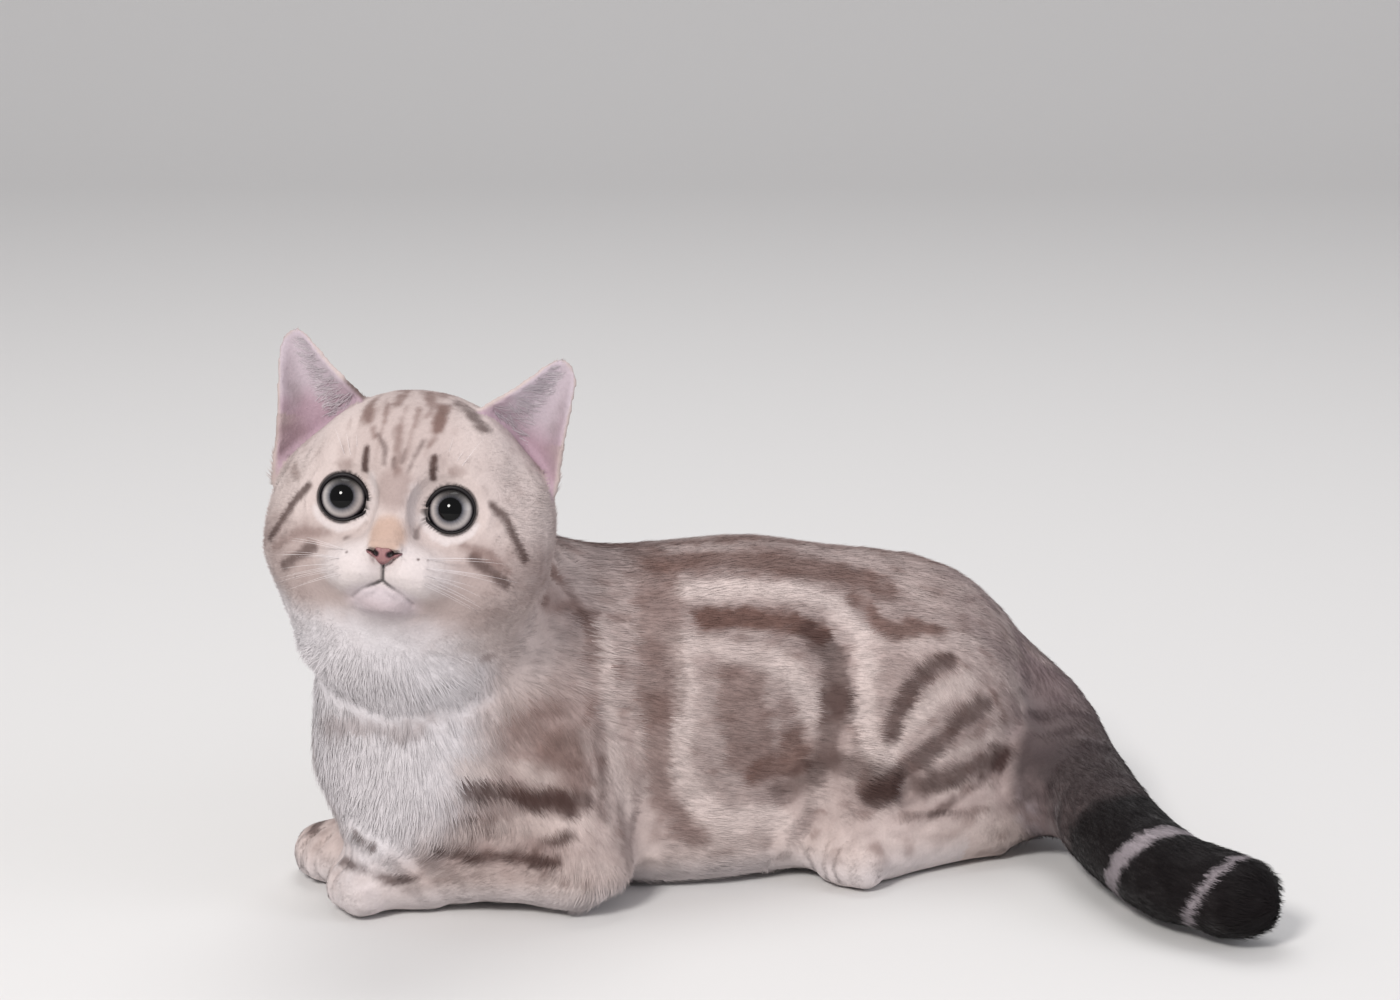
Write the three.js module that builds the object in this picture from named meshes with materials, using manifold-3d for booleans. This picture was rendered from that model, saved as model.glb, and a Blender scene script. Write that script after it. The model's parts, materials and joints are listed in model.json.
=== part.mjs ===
// A munchkin kitten at life size, lying on its chest with its head turned to its left.
// Millimetres, +Z up. The trunk runs along X with the head at -X; the kitten's left side faces -Y.
import * as THREE from "three";
import { mergeVertices } from "three/addons/utils/BufferGeometryUtils.js";
import Module from "manifold-3d";

const wasm = await Module();
wasm.setup();

// Driving dimensions, coat included.
const TRUNK_LENGTH = 248;
const BACK_HEIGHT = 102;
const TRUNK_WIDTH = 94;
const HEAD_WIDTH = 83;
const FORELEG_WIDTH = 27;
const HIND_FOOT_WIDTH = 25;
const TAIL_WIDTH = 35;
const EAR_HEIGHT = 33;
const EYEBALL_RADIUS = 8.6;
const EYE_SPACING = 31;

// Fit and mesh settings.
const SEAM = 0.3; // clear gap between touching nodes
const TRUNK_STEP = 11;
const LEG_STEP = 7.2;
const PAW_STEP = 3.7;
const TAIL_STEP = 8;
const NECK_STEP = 8.5;
const HEAD_STEP = 5.4;
const FACE_STEP = 3;

const DEG = Math.PI / 180;
const point = (x, y, z) => new THREE.Vector3(x, y, z);
const eulerDegrees = (x, y, z, order) => new THREE.Euler(x * DEG, y * DEG, z * DEG, order);
const turned = (x, y, z) => new THREE.Matrix4().makeRotationFromEuler(eulerDegrees(x, y, z, "ZYX"));

// Fields: a field is a function of x, y, z that is negative inside a form, and about the distance to it.

// An egg-shaped mass with three radii, turned by a rotation matrix.
function mass(centre, radii, turn = new THREE.Matrix4()) {
  const m = turn.clone().transpose().elements;
  const { x: cx, y: cy, z: cz } = centre;
  const { x: rx, y: ry, z: rz } = radii;
  return (x, y, z) => {
    const dx = x - cx;
    const dy = y - cy;
    const dz = z - cz;
    const a = (m[0] * dx + m[4] * dy + m[8] * dz) / rx;
    const b = (m[1] * dx + m[5] * dy + m[9] * dz) / ry;
    const c = (m[2] * dx + m[6] * dy + m[10] * dz) / rz;
    const near = Math.hypot(a, b, c);
    return (near * (near - 1)) / (Math.hypot(a / rx, b / ry, c / rz) + 1e-9);
  };
}

// A limb with round ends that tapers from one joint to the next.
function limb(from, to, fromRadius, toRadius) {
  const along = to.clone().sub(from);
  const { x: ax, y: ay, z: az } = along;
  const length2 = along.lengthSq();
  return (x, y, z) => {
    const dx = x - from.x;
    const dy = y - from.y;
    const dz = z - from.z;
    const share = Math.min(1, Math.max(0, (dx * ax + dy * ay + dz * az) / length2));
    const gap = Math.hypot(dx - share * ax, dy - share * ay, dz - share * az);
    return gap - fromRadius - share * (toRadius - fromRadius);
  };
}

// Fields joined with a soft fillet of about the given width.
function joined(width, ...fields) {
  return (x, y, z) => {
    let near = fields[0](x, y, z);
    for (let i = 1; i < fields.length; i++) {
      const other = fields[i](x, y, z);
      const overlap = Math.max(width - Math.abs(near - other), 0) / width;
      near = Math.min(near, other) - overlap * overlap * width * 0.25;
    }
    return near;
  };
}

// A field with soft-edged hollows taken out of it.
function hollowed(width, field, ...hollows) {
  const outside = joined(width, (x, y, z) => -field(x, y, z), ...hollows);
  return (x, y, z) => -outside(x, y, z);
}

// The same field seen from a frame that the matrix places in the field's own frame.
function seenFrom(matrix, field) {
  const m = matrix.elements;
  return (x, y, z) =>
    field(
      m[0] * x + m[4] * y + m[8] * z + m[12],
      m[1] * x + m[5] * y + m[9] * z + m[13],
      m[2] * x + m[6] * y + m[10] * z + m[14],
    );
}

// Grid lines from low to high, spaced by step(place).
function gridLines(low, high, step) {
  const lines = [low];
  while (lines.at(-1) < high) lines.push(lines.at(-1) + step(lines.at(-1)));
  return lines;
}

// A closed surface on the field's zero level inside a box: one vertex in each grid cell that the surface
// crosses, moved onto it, and one quad round each grid edge that it crosses.
function surfaceOf(field, low, high, step) {
  const pace = typeof step === "number" ? { x: () => step, y: () => step, z: () => step } : step;
  const axes = ["x", "y", "z"].map((axis) => gridLines(low[axis], high[axis], pace[axis]));
  const [nx, ny, nz] = axes.map((lines) => lines.length);
  const at = (i, j, k) => (i * ny + j) * nz + k;
  const values = new Float64Array(nx * ny * nz);
  for (let i = 0; i < nx; i++)
    for (let j = 0; j < ny; j++)
      for (let k = 0; k < nz; k++) {
        const rim = i * j * k === 0 || i === nx - 1 || j === ny - 1 || k === nz - 1;
        const value = field(axes[0][i], axes[1][j], axes[2][k]);
        values[at(i, j, k)] = rim ? Math.max(value, 1) : value;
      }
  const corners = [0, 1, 2, 3, 4, 5, 6, 7].map((n) => [n & 1, (n >> 1) & 1, n >> 2]);
  const edges = corners.flatMap((a, n) => [1, 2, 4].filter((bit) => !(n & bit)).map((bit) => [n, n | bit]));
  const positions = [];
  const cellVertex = new Map();
  for (let i = 0; i < nx - 1; i++)
    for (let j = 0; j < ny - 1; j++)
      for (let k = 0; k < nz - 1; k++) {
        const corner = corners.map(([a, b, c]) => values[at(i + a, j + b, k + c)]);
        const sum = [0, 0, 0];
        let crossings = 0;
        for (const [a, b] of edges) {
          if (corner[a] < 0 === corner[b] < 0) continue;
          const share = corner[a] / (corner[a] - corner[b]);
          for (let axis = 0; axis < 3; axis++) {
            const base = [i, j, k][axis];
            const from = axes[axis][base + corners[a][axis]];
            const to = axes[axis][base + corners[b][axis]];
            sum[axis] += from + share * (to - from);
          }
          crossings++;
        }
        if (!crossings) continue;
        cellVertex.set(at(i, j, k), positions.length / 3);
        const rimCell = i * j * k === 0 || i === nx - 2 || j === ny - 2 || k === nz - 2;
        const place = sum.map((total) => total / crossings);
        positions.push(...(rimCell ? place : ontoSurface(field, place, axes, [i, j, k])));
      }
  const quads = [];
  const round = [[1, 1], [0, 1], [0, 0], [1, 0]];
  for (let i = 0; i < nx - 1; i++)
    for (let j = 0; j < ny - 1; j++)
      for (let k = 0; k < nz - 1; k++)
        for (let axis = 0; axis < 3; axis++) {
          const node = [i, j, k];
          const [second, third] = [(axis + 1) % 3, (axis + 2) % 3];
          if (node[second] === 0 || node[third] === 0) continue;
          const inside = values[at(i, j, k)] < 0;
          const next = node.with(axis, node[axis] + 1);
          if (inside === values[at(...next)] < 0) continue;
          const quad = round.map(([a, b]) =>
            cellVertex.get(at(...node.with(second, node[second] - a).with(third, node[third] - b))),
          );
          quads.push(inside ? quad : quad.reverse());
        }
  return geometryOf(positions, quads.flatMap((quad) => shortCut(positions, quad)));
}

// Moves a point along the field's slope until it lies on the zero level, without leaving its grid cell.
function ontoSurface(field, start, axes, cell) {
  const reach = 0.2;
  const point = [...start];
  for (let round = 0; round < 4; round++) {
    const value = field(...point);
    const slope = [0, 1, 2].map((axis) => {
      const ahead = [...point];
      ahead[axis] += reach;
      return (field(...ahead) - value) / reach;
    });
    const steep = Math.max(slope.reduce((total, s) => total + s * s, 0), 0.05);
    for (let axis = 0; axis < 3; axis++) {
      const low = axes[axis][cell[axis]];
      const high = axes[axis][cell[axis] + 1];
      const margin = 0.04 * (high - low);
      const moved = point[axis] - (value * slope[axis]) / steep;
      point[axis] = Math.min(high - margin, Math.max(low + margin, moved));
    }
  }
  return point;
}

// The two triangles of a quad, cut along its shorter diagonal.
function shortCut(positions, [a, b, c, d]) {
  const across = (p, q, axis) => positions[3 * p + axis] - positions[3 * q + axis];
  const gap = (p, q) => Math.hypot(...[0, 1, 2].map((axis) => across(p, q, axis)));
  return gap(a, c) < gap(b, d) ? [a, b, c, a, c, d] : [a, b, d, b, c, d];
}

function geometryOf(positions, triangles) {
  const geometry = new THREE.BufferGeometry();
  geometry.setAttribute("position", new THREE.BufferAttribute(new Float32Array(positions), 3));
  geometry.setIndex(new THREE.BufferAttribute(new Uint32Array(triangles), 1));
  return geometry;
}

// Solids: closed meshes that can be joined and cut.

function solidOf(geometry, matrix = new THREE.Matrix4()) {
  const bare = geometry.clone().applyMatrix4(matrix);
  bare.deleteAttribute("normal");
  bare.deleteAttribute("uv");
  const merged = mergeVertices(bare, 1e-4);
  const vertProperties = merged.attributes.position.array;
  const triVerts = new Uint32Array(merged.index.array);
  return new wasm.Manifold(new wasm.Mesh({ numProp: 3, vertProperties, triVerts }));
}

// The largest closed body of a solid, as a geometry.
function largestBody(solid) {
  const bodies = solid.decompose().sort((a, b) => b.volume() - a.volume());
  const { vertProperties, triVerts } = bodies[0].getMesh();
  return geometryOf(vertProperties, triVerts);
}

// The same closed mesh with fewer triangles: a vertex is drawn into its neighbour wherever the
// surface moves by less than the tolerance, no triangle turns over and none grows much thinner.
const TURN_LIMIT = 0.6; // least cosine between a triangle's old and new directions
const THIN_LIMIT = 0.12; // least shapeliness of a new triangle, where 1 is equal-sided
function slimmed(geometry, tolerance) {
  const source = geometry.attributes.position;
  const placeOf = (n) => new THREE.Vector3().fromBufferAttribute(source, n);
  const places = Array.from({ length: source.count }, (_, n) => placeOf(n));
  const index = geometry.index.array;
  const faces = Array.from({ length: index.length / 3 }, (_, n) => [...index.slice(3 * n, 3 * n + 3)]);
  const around = places.map(() => new Set());
  faces.forEach((face, n) => face.forEach((vertex) => around[vertex].add(n)));
  const facing = ([a, b, c]) => b.clone().sub(a).cross(c.clone().sub(a));
  const corners = (face) => face.map((vertex) => places[vertex]);
  const shapeliness = ([a, b, c], area2) =>
    (2 * Math.sqrt(3) * area2) /
    (a.distanceToSquared(b) + b.distanceToSquared(c) + c.distanceToSquared(a) + 1e-12);
  const planes = places.map((_, vertex) =>
    [...around[vertex]].flatMap((n) => {
      const normal = facing(corners(faces[n]));
      if (normal.length() < 1e-5) return [];
      normal.normalize();
      return [[normal, normal.dot(places[faces[n][0]])]];
    }),
  );
  const strayed = (vertex, place) =>
    Math.max(0, ...planes[vertex].map(([normal, offset]) => Math.abs(normal.dot(place) - offset)));
  const beside = (vertex) =>
    new Set([...around[vertex]].flatMap((n) => faces[n]).filter((other) => other !== vertex));
  const drawn = (gone, kept) => {
    const shared = [...beside(gone)].filter((vertex) => beside(kept).has(vertex));
    if (shared.length !== 2) return false;
    for (const n of around[gone]) {
      if (faces[n].includes(kept)) continue;
      const before = corners(faces[n]);
      const after = faces[n].map((vertex) => places[vertex === gone ? kept : vertex]);
      const [was, is] = [facing(before), facing(after)];
      const [wasArea, isArea] = [was.length(), is.length()];
      if (isArea < 1e-4 || (wasArea > 1e-3 && was.dot(is) < TURN_LIMIT * wasArea * isArea)) return false;
      if (shapeliness(after, isArea) < Math.min(THIN_LIMIT, shapeliness(before, wasArea))) return false;
    }
    for (const n of [...around[gone]]) {
      if (faces[n].includes(kept)) {
        faces[n].forEach((vertex) => around[vertex].delete(n));
        faces[n] = null;
      } else {
        faces[n] = faces[n].map((vertex) => (vertex === gone ? kept : vertex));
        around[kept].add(n);
      }
    }
    around[gone].clear();
    planes[kept].push(...planes[gone]);
    return true;
  };
  for (let moved = true; moved; ) {
    moved = false;
    const choices = [];
    for (const face of faces.filter(Boolean))
      for (let corner = 0; corner < 3; corner++) {
        const [gone, kept] = [face[corner], face[(corner + 1) % 3]];
        for (const [from, to] of [[gone, kept], [kept, gone]]) {
          const stray = strayed(from, places[to]);
          const cost = stray + 1e-3 * places[from].distanceTo(places[to]);
          if (stray < tolerance) choices.push([cost, from, to]);
        }
      }
    choices.sort((a, b) => a[0] - b[0]);
    const touched = new Set();
    for (const [, gone, kept] of choices) {
      if (touched.has(gone) || touched.has(kept) || !around[gone].size || !around[kept].size) continue;
      if (!drawn(gone, kept)) continue;
      touched.add(gone).add(kept);
      moved = true;
    }
  }
  const used = [...new Set(faces.filter(Boolean).flat())];
  const order = new Map(used.map((vertex, n) => [vertex, n]));
  const positions = used.flatMap((vertex) => places[vertex].toArray());
  return geometryOf(positions, faces.filter(Boolean).flat().map((vertex) => order.get(vertex)));
}

const between = (from, to, share) => from.clone().lerp(to, share);

// A knife: an egg-shaped solid, given like a mass, that parts one node from the rest.
function eggKnife(centre, radii, turn = new THREE.Matrix4(), grow = 0) {
  const size = radii.clone().addScalar(grow);
  const matrix = turn.clone().scale(size).setPosition(centre);
  return solidOf(new THREE.IcosahedronGeometry(1, 2), matrix);
}

// A knife: everything on the far side of a plane, as a box of the given size.
const WHOLE_SIDE = 400;
function sideKnife(through, towards, grow = 0, size = WHOLE_SIDE) {
  const direction = towards.clone().normalize();
  const turn = new THREE.Quaternion().setFromUnitVectors(point(0, 0, 1), direction);
  const middle = through.clone().addScaledVector(direction, size / 2 - grow);
  const matrix = new THREE.Matrix4().compose(middle, turn, point(1, 1, 1));
  return solidOf(new THREE.BoxGeometry(size, size, size), matrix);
}

// Trunk places: share 0 is the front of the chest and 1 the rump; side is a share of half the
// width, with the kitten's left negative; height is a share of the back's height. The front bends
// to the kitten's left.
const FRONT_BEND = 14;
const REAR_BEND = 4;
const TRUNK_MIDDLE_SHARE = 0.5;
function spine(share) {
  const x = (share - TRUNK_MIDDLE_SHARE) * TRUNK_LENGTH;
  const front = Math.max(0, TRUNK_MIDDLE_SHARE - share) / TRUNK_MIDDLE_SHARE;
  const rear = Math.max(0, share - TRUNK_MIDDLE_SHARE) / TRUNK_MIDDLE_SHARE;
  return { x, y: -FRONT_BEND * front * front + REAR_BEND * rear * rear };
}
function onTrunk(share, side, height) {
  const { x, y } = spine(share);
  return point(x, y + (side * TRUNK_WIDTH) / 2, height * BACK_HEIGHT);
}
function trunkMass(share, side, height, lengthShare, widthShare, heightShare, turn) {
  const length = lengthShare * TRUNK_LENGTH;
  const radii = point(length, (widthShare * TRUNK_WIDTH) / 2, (heightShare * BACK_HEIGHT) / 2);
  return mass(onTrunk(share, side, height), radii, turn);
}

// The trunk's masses, from the chest to the rump.
const brisket = trunkMass(0.15, 0, 0.46, 0.162, 0.84, 0.88);
const ribs = trunkMass(0.34, 0, 0.5, 0.24, 0.94, 1.0);
const belly = trunkMass(0.54, 0, 0.49, 0.26, 0.98, 1.0);
const haunches = trunkMass(0.75, 0, 0.44, 0.2, 0.94, 0.9);
const spread = trunkMass(0.5, 0, 0.16, 0.27, 1.0, 0.55);
const bib = mass(point(-98, -19, 24), point(20, 15, 22));
const trunk = joined(10, joined(16, brisket, ribs, belly, haunches), spread, bib);

// The head's own frame: origin midway between the eyes, x to the kitten's left, y into the skull, z up.
const EYES_AT = point(-115, -49.5, 131);
const HEAD_YAW = -28.5;
const HEAD_PITCH = -13;
const HEAD_ROLL = 5.8;
const headTurn = new THREE.Euler(HEAD_PITCH * DEG, HEAD_ROLL * DEG, HEAD_YAW * DEG, "ZXY");
const headMatrix = new THREE.Matrix4().makeRotationFromEuler(headTurn).setPosition(EYES_AT);
const toHead = headMatrix.clone().invert();
const inWorld = (local) => local.clone().applyMatrix4(headMatrix);
const SIDES = { right: -1, left: 1 };
const sided = (build) => Object.values(SIDES).map(build);

const LEAN = 1.2; // the skull and cheeks lie a little to the kitten's left of the face
const skull = mass(point(LEAN, 22, 7), point(0.4 * HEAD_WIDTH, 32, 27.5));
const brow = mass(point(LEAN, 6, 12), point(26, 12, 13));
const temples = sided((side) => mass(point(LEAN + side * 29, 23, 0), point(11.5, 16, 15)));
const bridge = limb(point(0, -5, 5), point(0, -14.5, -9), 8.5, 5);
const chin = mass(point(0, -10, -26.6), point(8, 7, 5.6));
const jaw = mass(point(LEAN, 9, -19), point(30, 20, 13));
const cheeks = sided((side) =>
  mass(point(LEAN + side * 0.27 * HEAD_WIDTH, 14, -13), point(0.235 * HEAD_WIDTH, 21, 20)),
);
const orbits = sided((side) => mass(point((side * EYE_SPACING) / 2, 4.4, 0), point(12, 9.6, 11.5)));
const pads = sided((side) => mass(point(side * 7.8, -12, -19), point(9.4, 8.8, 6.8)));
const face = joined(7, joined(4, ...orbits, bridge), joined(1.6, ...pads, chin));
const sockets = sided((side) => mass(point((side * EYE_SPACING) / 2, -11, 0), point(10.4, 6.8, 10.2)));
const head = hollowed(4, joined(9, joined(10, skull, brow, jaw, ...cheeks, ...temples), face), ...sockets);
const headInWorld = seenFrom(toHead, head);

// The neck runs from the withers to the back of the skull.
const neckRoot = onTrunk(0.24, 0, 0.66);
const nape = inWorld(point(0, 34, -8));
const throat = inWorld(point(0, 20, -26));
const ruff = mass(inWorld(point(0, 24, -36)), point(33, 25, 22), headMatrix.clone().setPosition(0, 0, 0));
const neck = joined(12, limb(neckRoot, nape, 36, 29), limb(onTrunk(0.14, 0, 0.6), throat, 34, 24), ruff);

// Legs. Each joint is a point in the part's frame; the left side is at -Y.
const PAW_HEIGHT = 19;
function toes(centre, heading, width) {
  const across = point(-heading.y, heading.x, 0);
  return [-1.5, -0.5, 0.5, 1.5].map((place) => {
    const ahead = 0.42 * width - 0.07 * width * place * place;
    const toe = centre.clone().addScaledVector(heading, ahead);
    toe.addScaledVector(across, 0.235 * width * place);
    toe.z = 0.4 * PAW_HEIGHT;
    return mass(toe, point(0.3 * width, 0.3 * width, 0.4 * PAW_HEIGHT));
  });
}
function paw(wrist, tip, width) {
  const heading = tip.clone().sub(wrist).setZ(0).normalize();
  const centre = between(wrist, tip, 0.5).setZ(PAW_HEIGHT / 2);
  const turn = new THREE.Matrix4().makeRotationZ(Math.atan2(heading.y, heading.x));
  const palm = mass(centre, point(0.62 * width, 0.46 * width, PAW_HEIGHT / 2), turn);
  return joined(5, palm, joined(1.6, ...toes(centre, heading, width)));
}

function foreleg(shoulder, elbow, wrist, tip) {
  const width = FORELEG_WIDTH;
  const arm = limb(shoulder, elbow, 0.85 * width, 0.55 * width);
  const forearm = limb(elbow, wrist, 0.52 * width, 0.4 * width);
  const hand = paw(wrist, tip, 0.95 * width);
  return { shoulder, elbow, wrist, tip, width, field: joined(6, joined(8, arm, forearm), hand) };
}
const forelegs = {
  left: foreleg(onTrunk(0.24, -0.5, 0.5), point(-57, -42, 15), point(-97, -21, 12), point(-123, -11, 9)),
  right: foreleg(onTrunk(0.24, 0.5, 0.5), point(-54, 37, 15), point(-97, 20, 12), point(-121, 17, 9)),
};

function hindLeg(hip, knee, hock, tip) {
  const width = HIND_FOOT_WIDTH;
  const turn = turned(0, 22, 0);
  const thigh = mass(between(hip, knee, 0.5), point(41, 21, 33), turn);
  const shank = limb(knee, hock, 0.72 * width, 0.42 * width);
  const foot = limb(hock, between(hock, tip, 0.7), 0.4 * width, 0.42 * width);
  const sole = paw(between(hock, tip, 0.6), tip, width);
  return { hip, knee, hock, tip, width, field: joined(6, joined(10, thigh, shank), joined(5, foot, sole)) };
}
const hindLegs = {
  left: hindLeg(point(82, -27, 51), point(34, -38, 30), point(84, -44, 11), point(21, -51, 9)),
  right: hindLeg(point(82, 31, 51), point(34, 40, 30), point(86, 47, 11), point(23, 54, 9)),
};

// The tail leaves the rump, drops to the floor and swings round to the kitten's left.
const tailLine = new THREE.CatmullRomCurve3([
  point(92, 3, 50),
  point(112, -9, 35),
  point(107, -50, 22.5),
  point(98, -94, 17.5),
  point(97, -126, 15),
  point(105, -148, 14.4),
]);
const TAIL_BEADS = 24;
const tailBeads = Array.from({ length: TAIL_BEADS }, (_, n) => {
  const [from, to] = [n / TAIL_BEADS, (n + 1) / TAIL_BEADS];
  const radius = (share) => (TAIL_WIDTH / 2) * (1.08 - 0.26 * share);
  return limb(tailLine.getPoint(from), tailLine.getPoint(to), radius(from), radius(to));
});
const tail = (x, y, z) => tailBeads.reduce((near, bead) => Math.min(near, bead(x, y, z)), Infinity);

// The whole coat, and the coat without the head for what lies far from it.
const legFields = [forelegs.left, forelegs.right, hindLegs.left, hindLegs.right].map((leg) => leg.field);
const body = joined(7, joined(20, trunk, neck), ...legFields);
const lowBody = joined(12, body, tail);
const coat = joined(10, lowBody, headInWorld);

// Knives in the order in which they take their node from the coat. Each is a function of how much
// it is grown.
const limbKnife = (from, to, radius) => (grow) => {
  const along = to.clone().sub(from);
  const turn = new THREE.Quaternion().setFromUnitVectors(point(0, 1, 0), along.clone().normalize());
  const matrix = new THREE.Matrix4().compose(between(from, to, 0.5), turn, point(1, 1, 1));
  return solidOf(new THREE.CapsuleGeometry(radius + grow, along.length(), 4, 11), matrix);
};
const eggAt = (centre, radii, turn) => (grow) => eggKnife(centre, radii, turn, grow);
const beyond = (through, towards, size) => (grow) => sideKnife(through, towards, grow, size);

const trunkBox = [point(-140, -75, -8), point(150, 75, 125)];
function boxRound(points, margin) {
  const box = new THREE.Box3().setFromPoints(points).expandByScalar(margin);
  return [box.min.setZ(Math.max(box.min.z, -8)), box.max];
}

const floorTop = sideKnife(point(0, 0, 0), point(0, 0, 1));
const cuts = [];
const taken = [];
function take(name, mesh, knife) {
  let solid = knife ? mesh.intersect(knife(0)) : mesh;
  for (const earlier of taken) solid = solid.subtract(earlier);
  if (knife) taken.push(knife(SEAM));
  cuts.push({ name, solid: solid.intersect(floorTop) });
}

// The trunk, cut into chest, belly and rump, and the neck between chest and head.
const headWay = (x, y, z) => point(x, y, z).transformDirection(headMatrix);
const behindSkull = beyond(inWorld(point(0, 46, 0)), headWay(0, -0.84, 0.545));
const underJaw = beyond(inWorld(point(0, 10, -41)), headWay(0, -0.15, 1));
const headKnife = (grow) => behindSkull(grow).intersect(underJaw(grow));
const neckSide = nape.clone().sub(neckRoot).normalize().add(point(-0.1, 0, 0.5));
const neckKnife = beyond(between(neckRoot, nape, 0.3), neckSide);

const headBox = [point(-50, -36, -52), point(50, 66, 44)];
const finer = (low, high) => (place) => (place >= low && place < high ? FACE_STEP : HEAD_STEP);
const headStep = { x: finer(-26, 26), y: finer(-40, 2), z: finer(-34, 9) };
const bareHead = solidOf(surfaceOf(seenFrom(headMatrix, coat), ...headBox, headStep));

// The eyes: a ball in a socket, with a raised rim of lid round it.
const EYE_SPLAY = 9; // degrees that each eye looks outwards
const LID_RADIUS = 7.4;
const LID_THICKNESS = 1.3;
const LID_AHEAD = 5.4; // from the ball's centre to the rim
function eyeOf(side) {
  const centre = point((side * EYE_SPACING) / 2, 0, 0);
  const turn = turned(0, 0, side * EYE_SPLAY);
  const sphere = (radius) => new THREE.IcosahedronGeometry(radius, 3).translate(...centre);
  const ball = (grow) => solidOf(sphere(EYEBALL_RADIUS + grow));
  const rim = new THREE.TorusGeometry(LID_RADIUS, LID_THICKNESS, 6, 20).rotateX(Math.PI / 2);
  const lid = solidOf(rim.translate(0, -LID_AHEAD, 0).applyMatrix4(turn).translate(...centre));
  return { ball, lid };
}

// The nose leather, with its wings and nostrils, between the bridge and the parting of the lips.
const NOSE_STEP = 1.7;
const noseBody = mass(point(0, -18.4, -11.6), point(5.2, 3.4, 2.5));
const noseFoot = mass(point(0, -19, -14.3), point(2.3, 2.8, 2.7));
const noseWings = sided((side) => mass(point(side * 3.2, -18.6, -12.6), point(2.4, 3, 2.1)));
const nose = joined(1.4, noseBody, noseFoot, ...noseWings);
const noseBox = [point(-9, -25, -20), point(9, -12, -6)];
const noseSolid = (grow) => solidOf(surfaceOf((x, y, z) => nose(x, y, z) - grow, ...noseBox, NOSE_STEP));
const nostril = (side) =>
  eggKnife(point(side * 3.3, -21.4, -13.1), point(1.5, 1.7, 0.9), turned(0, side * 28, 0));

// The line of the mouth: a groove from the nose down the parting and out along both lips.
const LIP_GROOVE = 0.55;
function frontOf(field, x, z) {
  let y = -40;
  while (field(x, y, z) > 0.05 && y < 20) y += Math.max(0.05, 0.5 * field(x, y, z));
  return point(x, y, z);
}
function groove(places) {
  const line = new THREE.CatmullRomCurve3(places.map(([x, z]) => frontOf(head, x, z)));
  const corner = (angle) => [Math.cos(angle), Math.sin(angle)];
  const ring = Array.from({ length: 6 }, (_, n) => corner((n * Math.PI) / 3));
  const section = new THREE.Shape(ring.map(([a, b]) => new THREE.Vector2(a * LIP_GROOVE, b * LIP_GROOVE)));
  return solidOf(new THREE.ExtrudeGeometry(section, { steps: 7, extrudePath: line, bevelEnabled: false }));
}
const parting = groove([[0, -14], [0, -17.5], [0, -21.6]]);
const LIP_POINTS = [[-0.4, -21.2], [3.5, -23.4], [7, -24.8], [10.5, -24.6]];
const lipLine = (side) => LIP_POINTS.map(([x, z]) => [side * x, z]);
const lips = sided((side) => groove(lipLine(side)));

// Ears: a cupped sheet between its inner and outer edges, which leans out from a slanting base to a
// round tip.
const EAR_BASE = 16.5; // half the width of the base
const EAR_CUP = 12; // depth of the cup at the base
const EAR_ROOT = -0.22; // how far the sheet runs on into the head, as a share of its height
const EAR_COLUMNS = 8;
const EAR_ROWS = 8;
function earOf(side) {
  const base = point(side * 29.5, 17, 19);
  const tip = point(side * 41.5 - 0.6, 18, 19 + 0.82 * EAR_HEIGHT);
  const across = point(side * 23, 6, -22).normalize();
  const rise = tip.clone().sub(base);
  const sheet = (u, v, depth) => {
    const width = EAR_BASE * Math.sqrt(1 - v) * (1 - 0.36 * v);
    const cup = EAR_CUP * Math.pow(Math.max(0, 1 - v), 0.8) * (1 - u * u);
    const place = base.clone().addScaledVector(rise, v).addScaledVector(across, u * width);
    return place.add(point(0, cup + depth, 0));
  };
  const thickness = (v) => 2.6 - 1.3 * Math.max(0, v);
  const rowHeight = (n) => EAR_ROOT + (0.985 - EAR_ROOT) * (n / EAR_ROWS);
  const rows = Array.from({ length: EAR_ROWS + 1 }, (_, n) => rowHeight(n));
  const columns = Array.from({ length: EAR_COLUMNS + 1 }, (_, n) => -1 + (2 * n) / EAR_COLUMNS);
  const positions = [];
  for (const layer of [0, 1])
    for (const v of rows) for (const u of columns) positions.push(...sheet(u, v, layer * thickness(v)));
  const stride = EAR_COLUMNS + 1;
  const id = (layer, row, column) => (layer * (EAR_ROWS + 1) + row) * stride + column;
  const triangles = [];
  const quad = (a, b, c, d) => triangles.push(a, b, c, a, c, d);
  for (let row = 0; row < EAR_ROWS; row++)
    for (let column = 0; column < EAR_COLUMNS; column++)
      for (const layer of [0, 1]) {
        const corners = [[0, 0], [0, 1], [1, 1], [1, 0]].map(([r, c]) => id(layer, row + r, column + c));
        const [a, b, c, d] = corners;
        if (layer) triangles.push(a, c, b, a, d, c);
        else triangles.push(a, b, c, a, c, d);
      }
  for (let row = 0; row < EAR_ROWS; row++) {
    quad(id(0, row, 0), id(0, row + 1, 0), id(1, row + 1, 0), id(1, row, 0));
    const far = EAR_COLUMNS;
    quad(id(0, row + 1, far), id(0, row, far), id(1, row, far), id(1, row + 1, far));
  }
  for (let column = 0; column < EAR_COLUMNS; column++) {
    quad(id(0, 0, column + 1), id(0, 0, column), id(1, 0, column), id(1, 0, column + 1));
    const top = EAR_ROWS;
    quad(id(0, top, column), id(0, top, column + 1), id(1, top, column + 1), id(1, top, column));
  }
  if (side < 0) triangles.reverse();
  return solidOf(geometryOf(positions, triangles));
}

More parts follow.
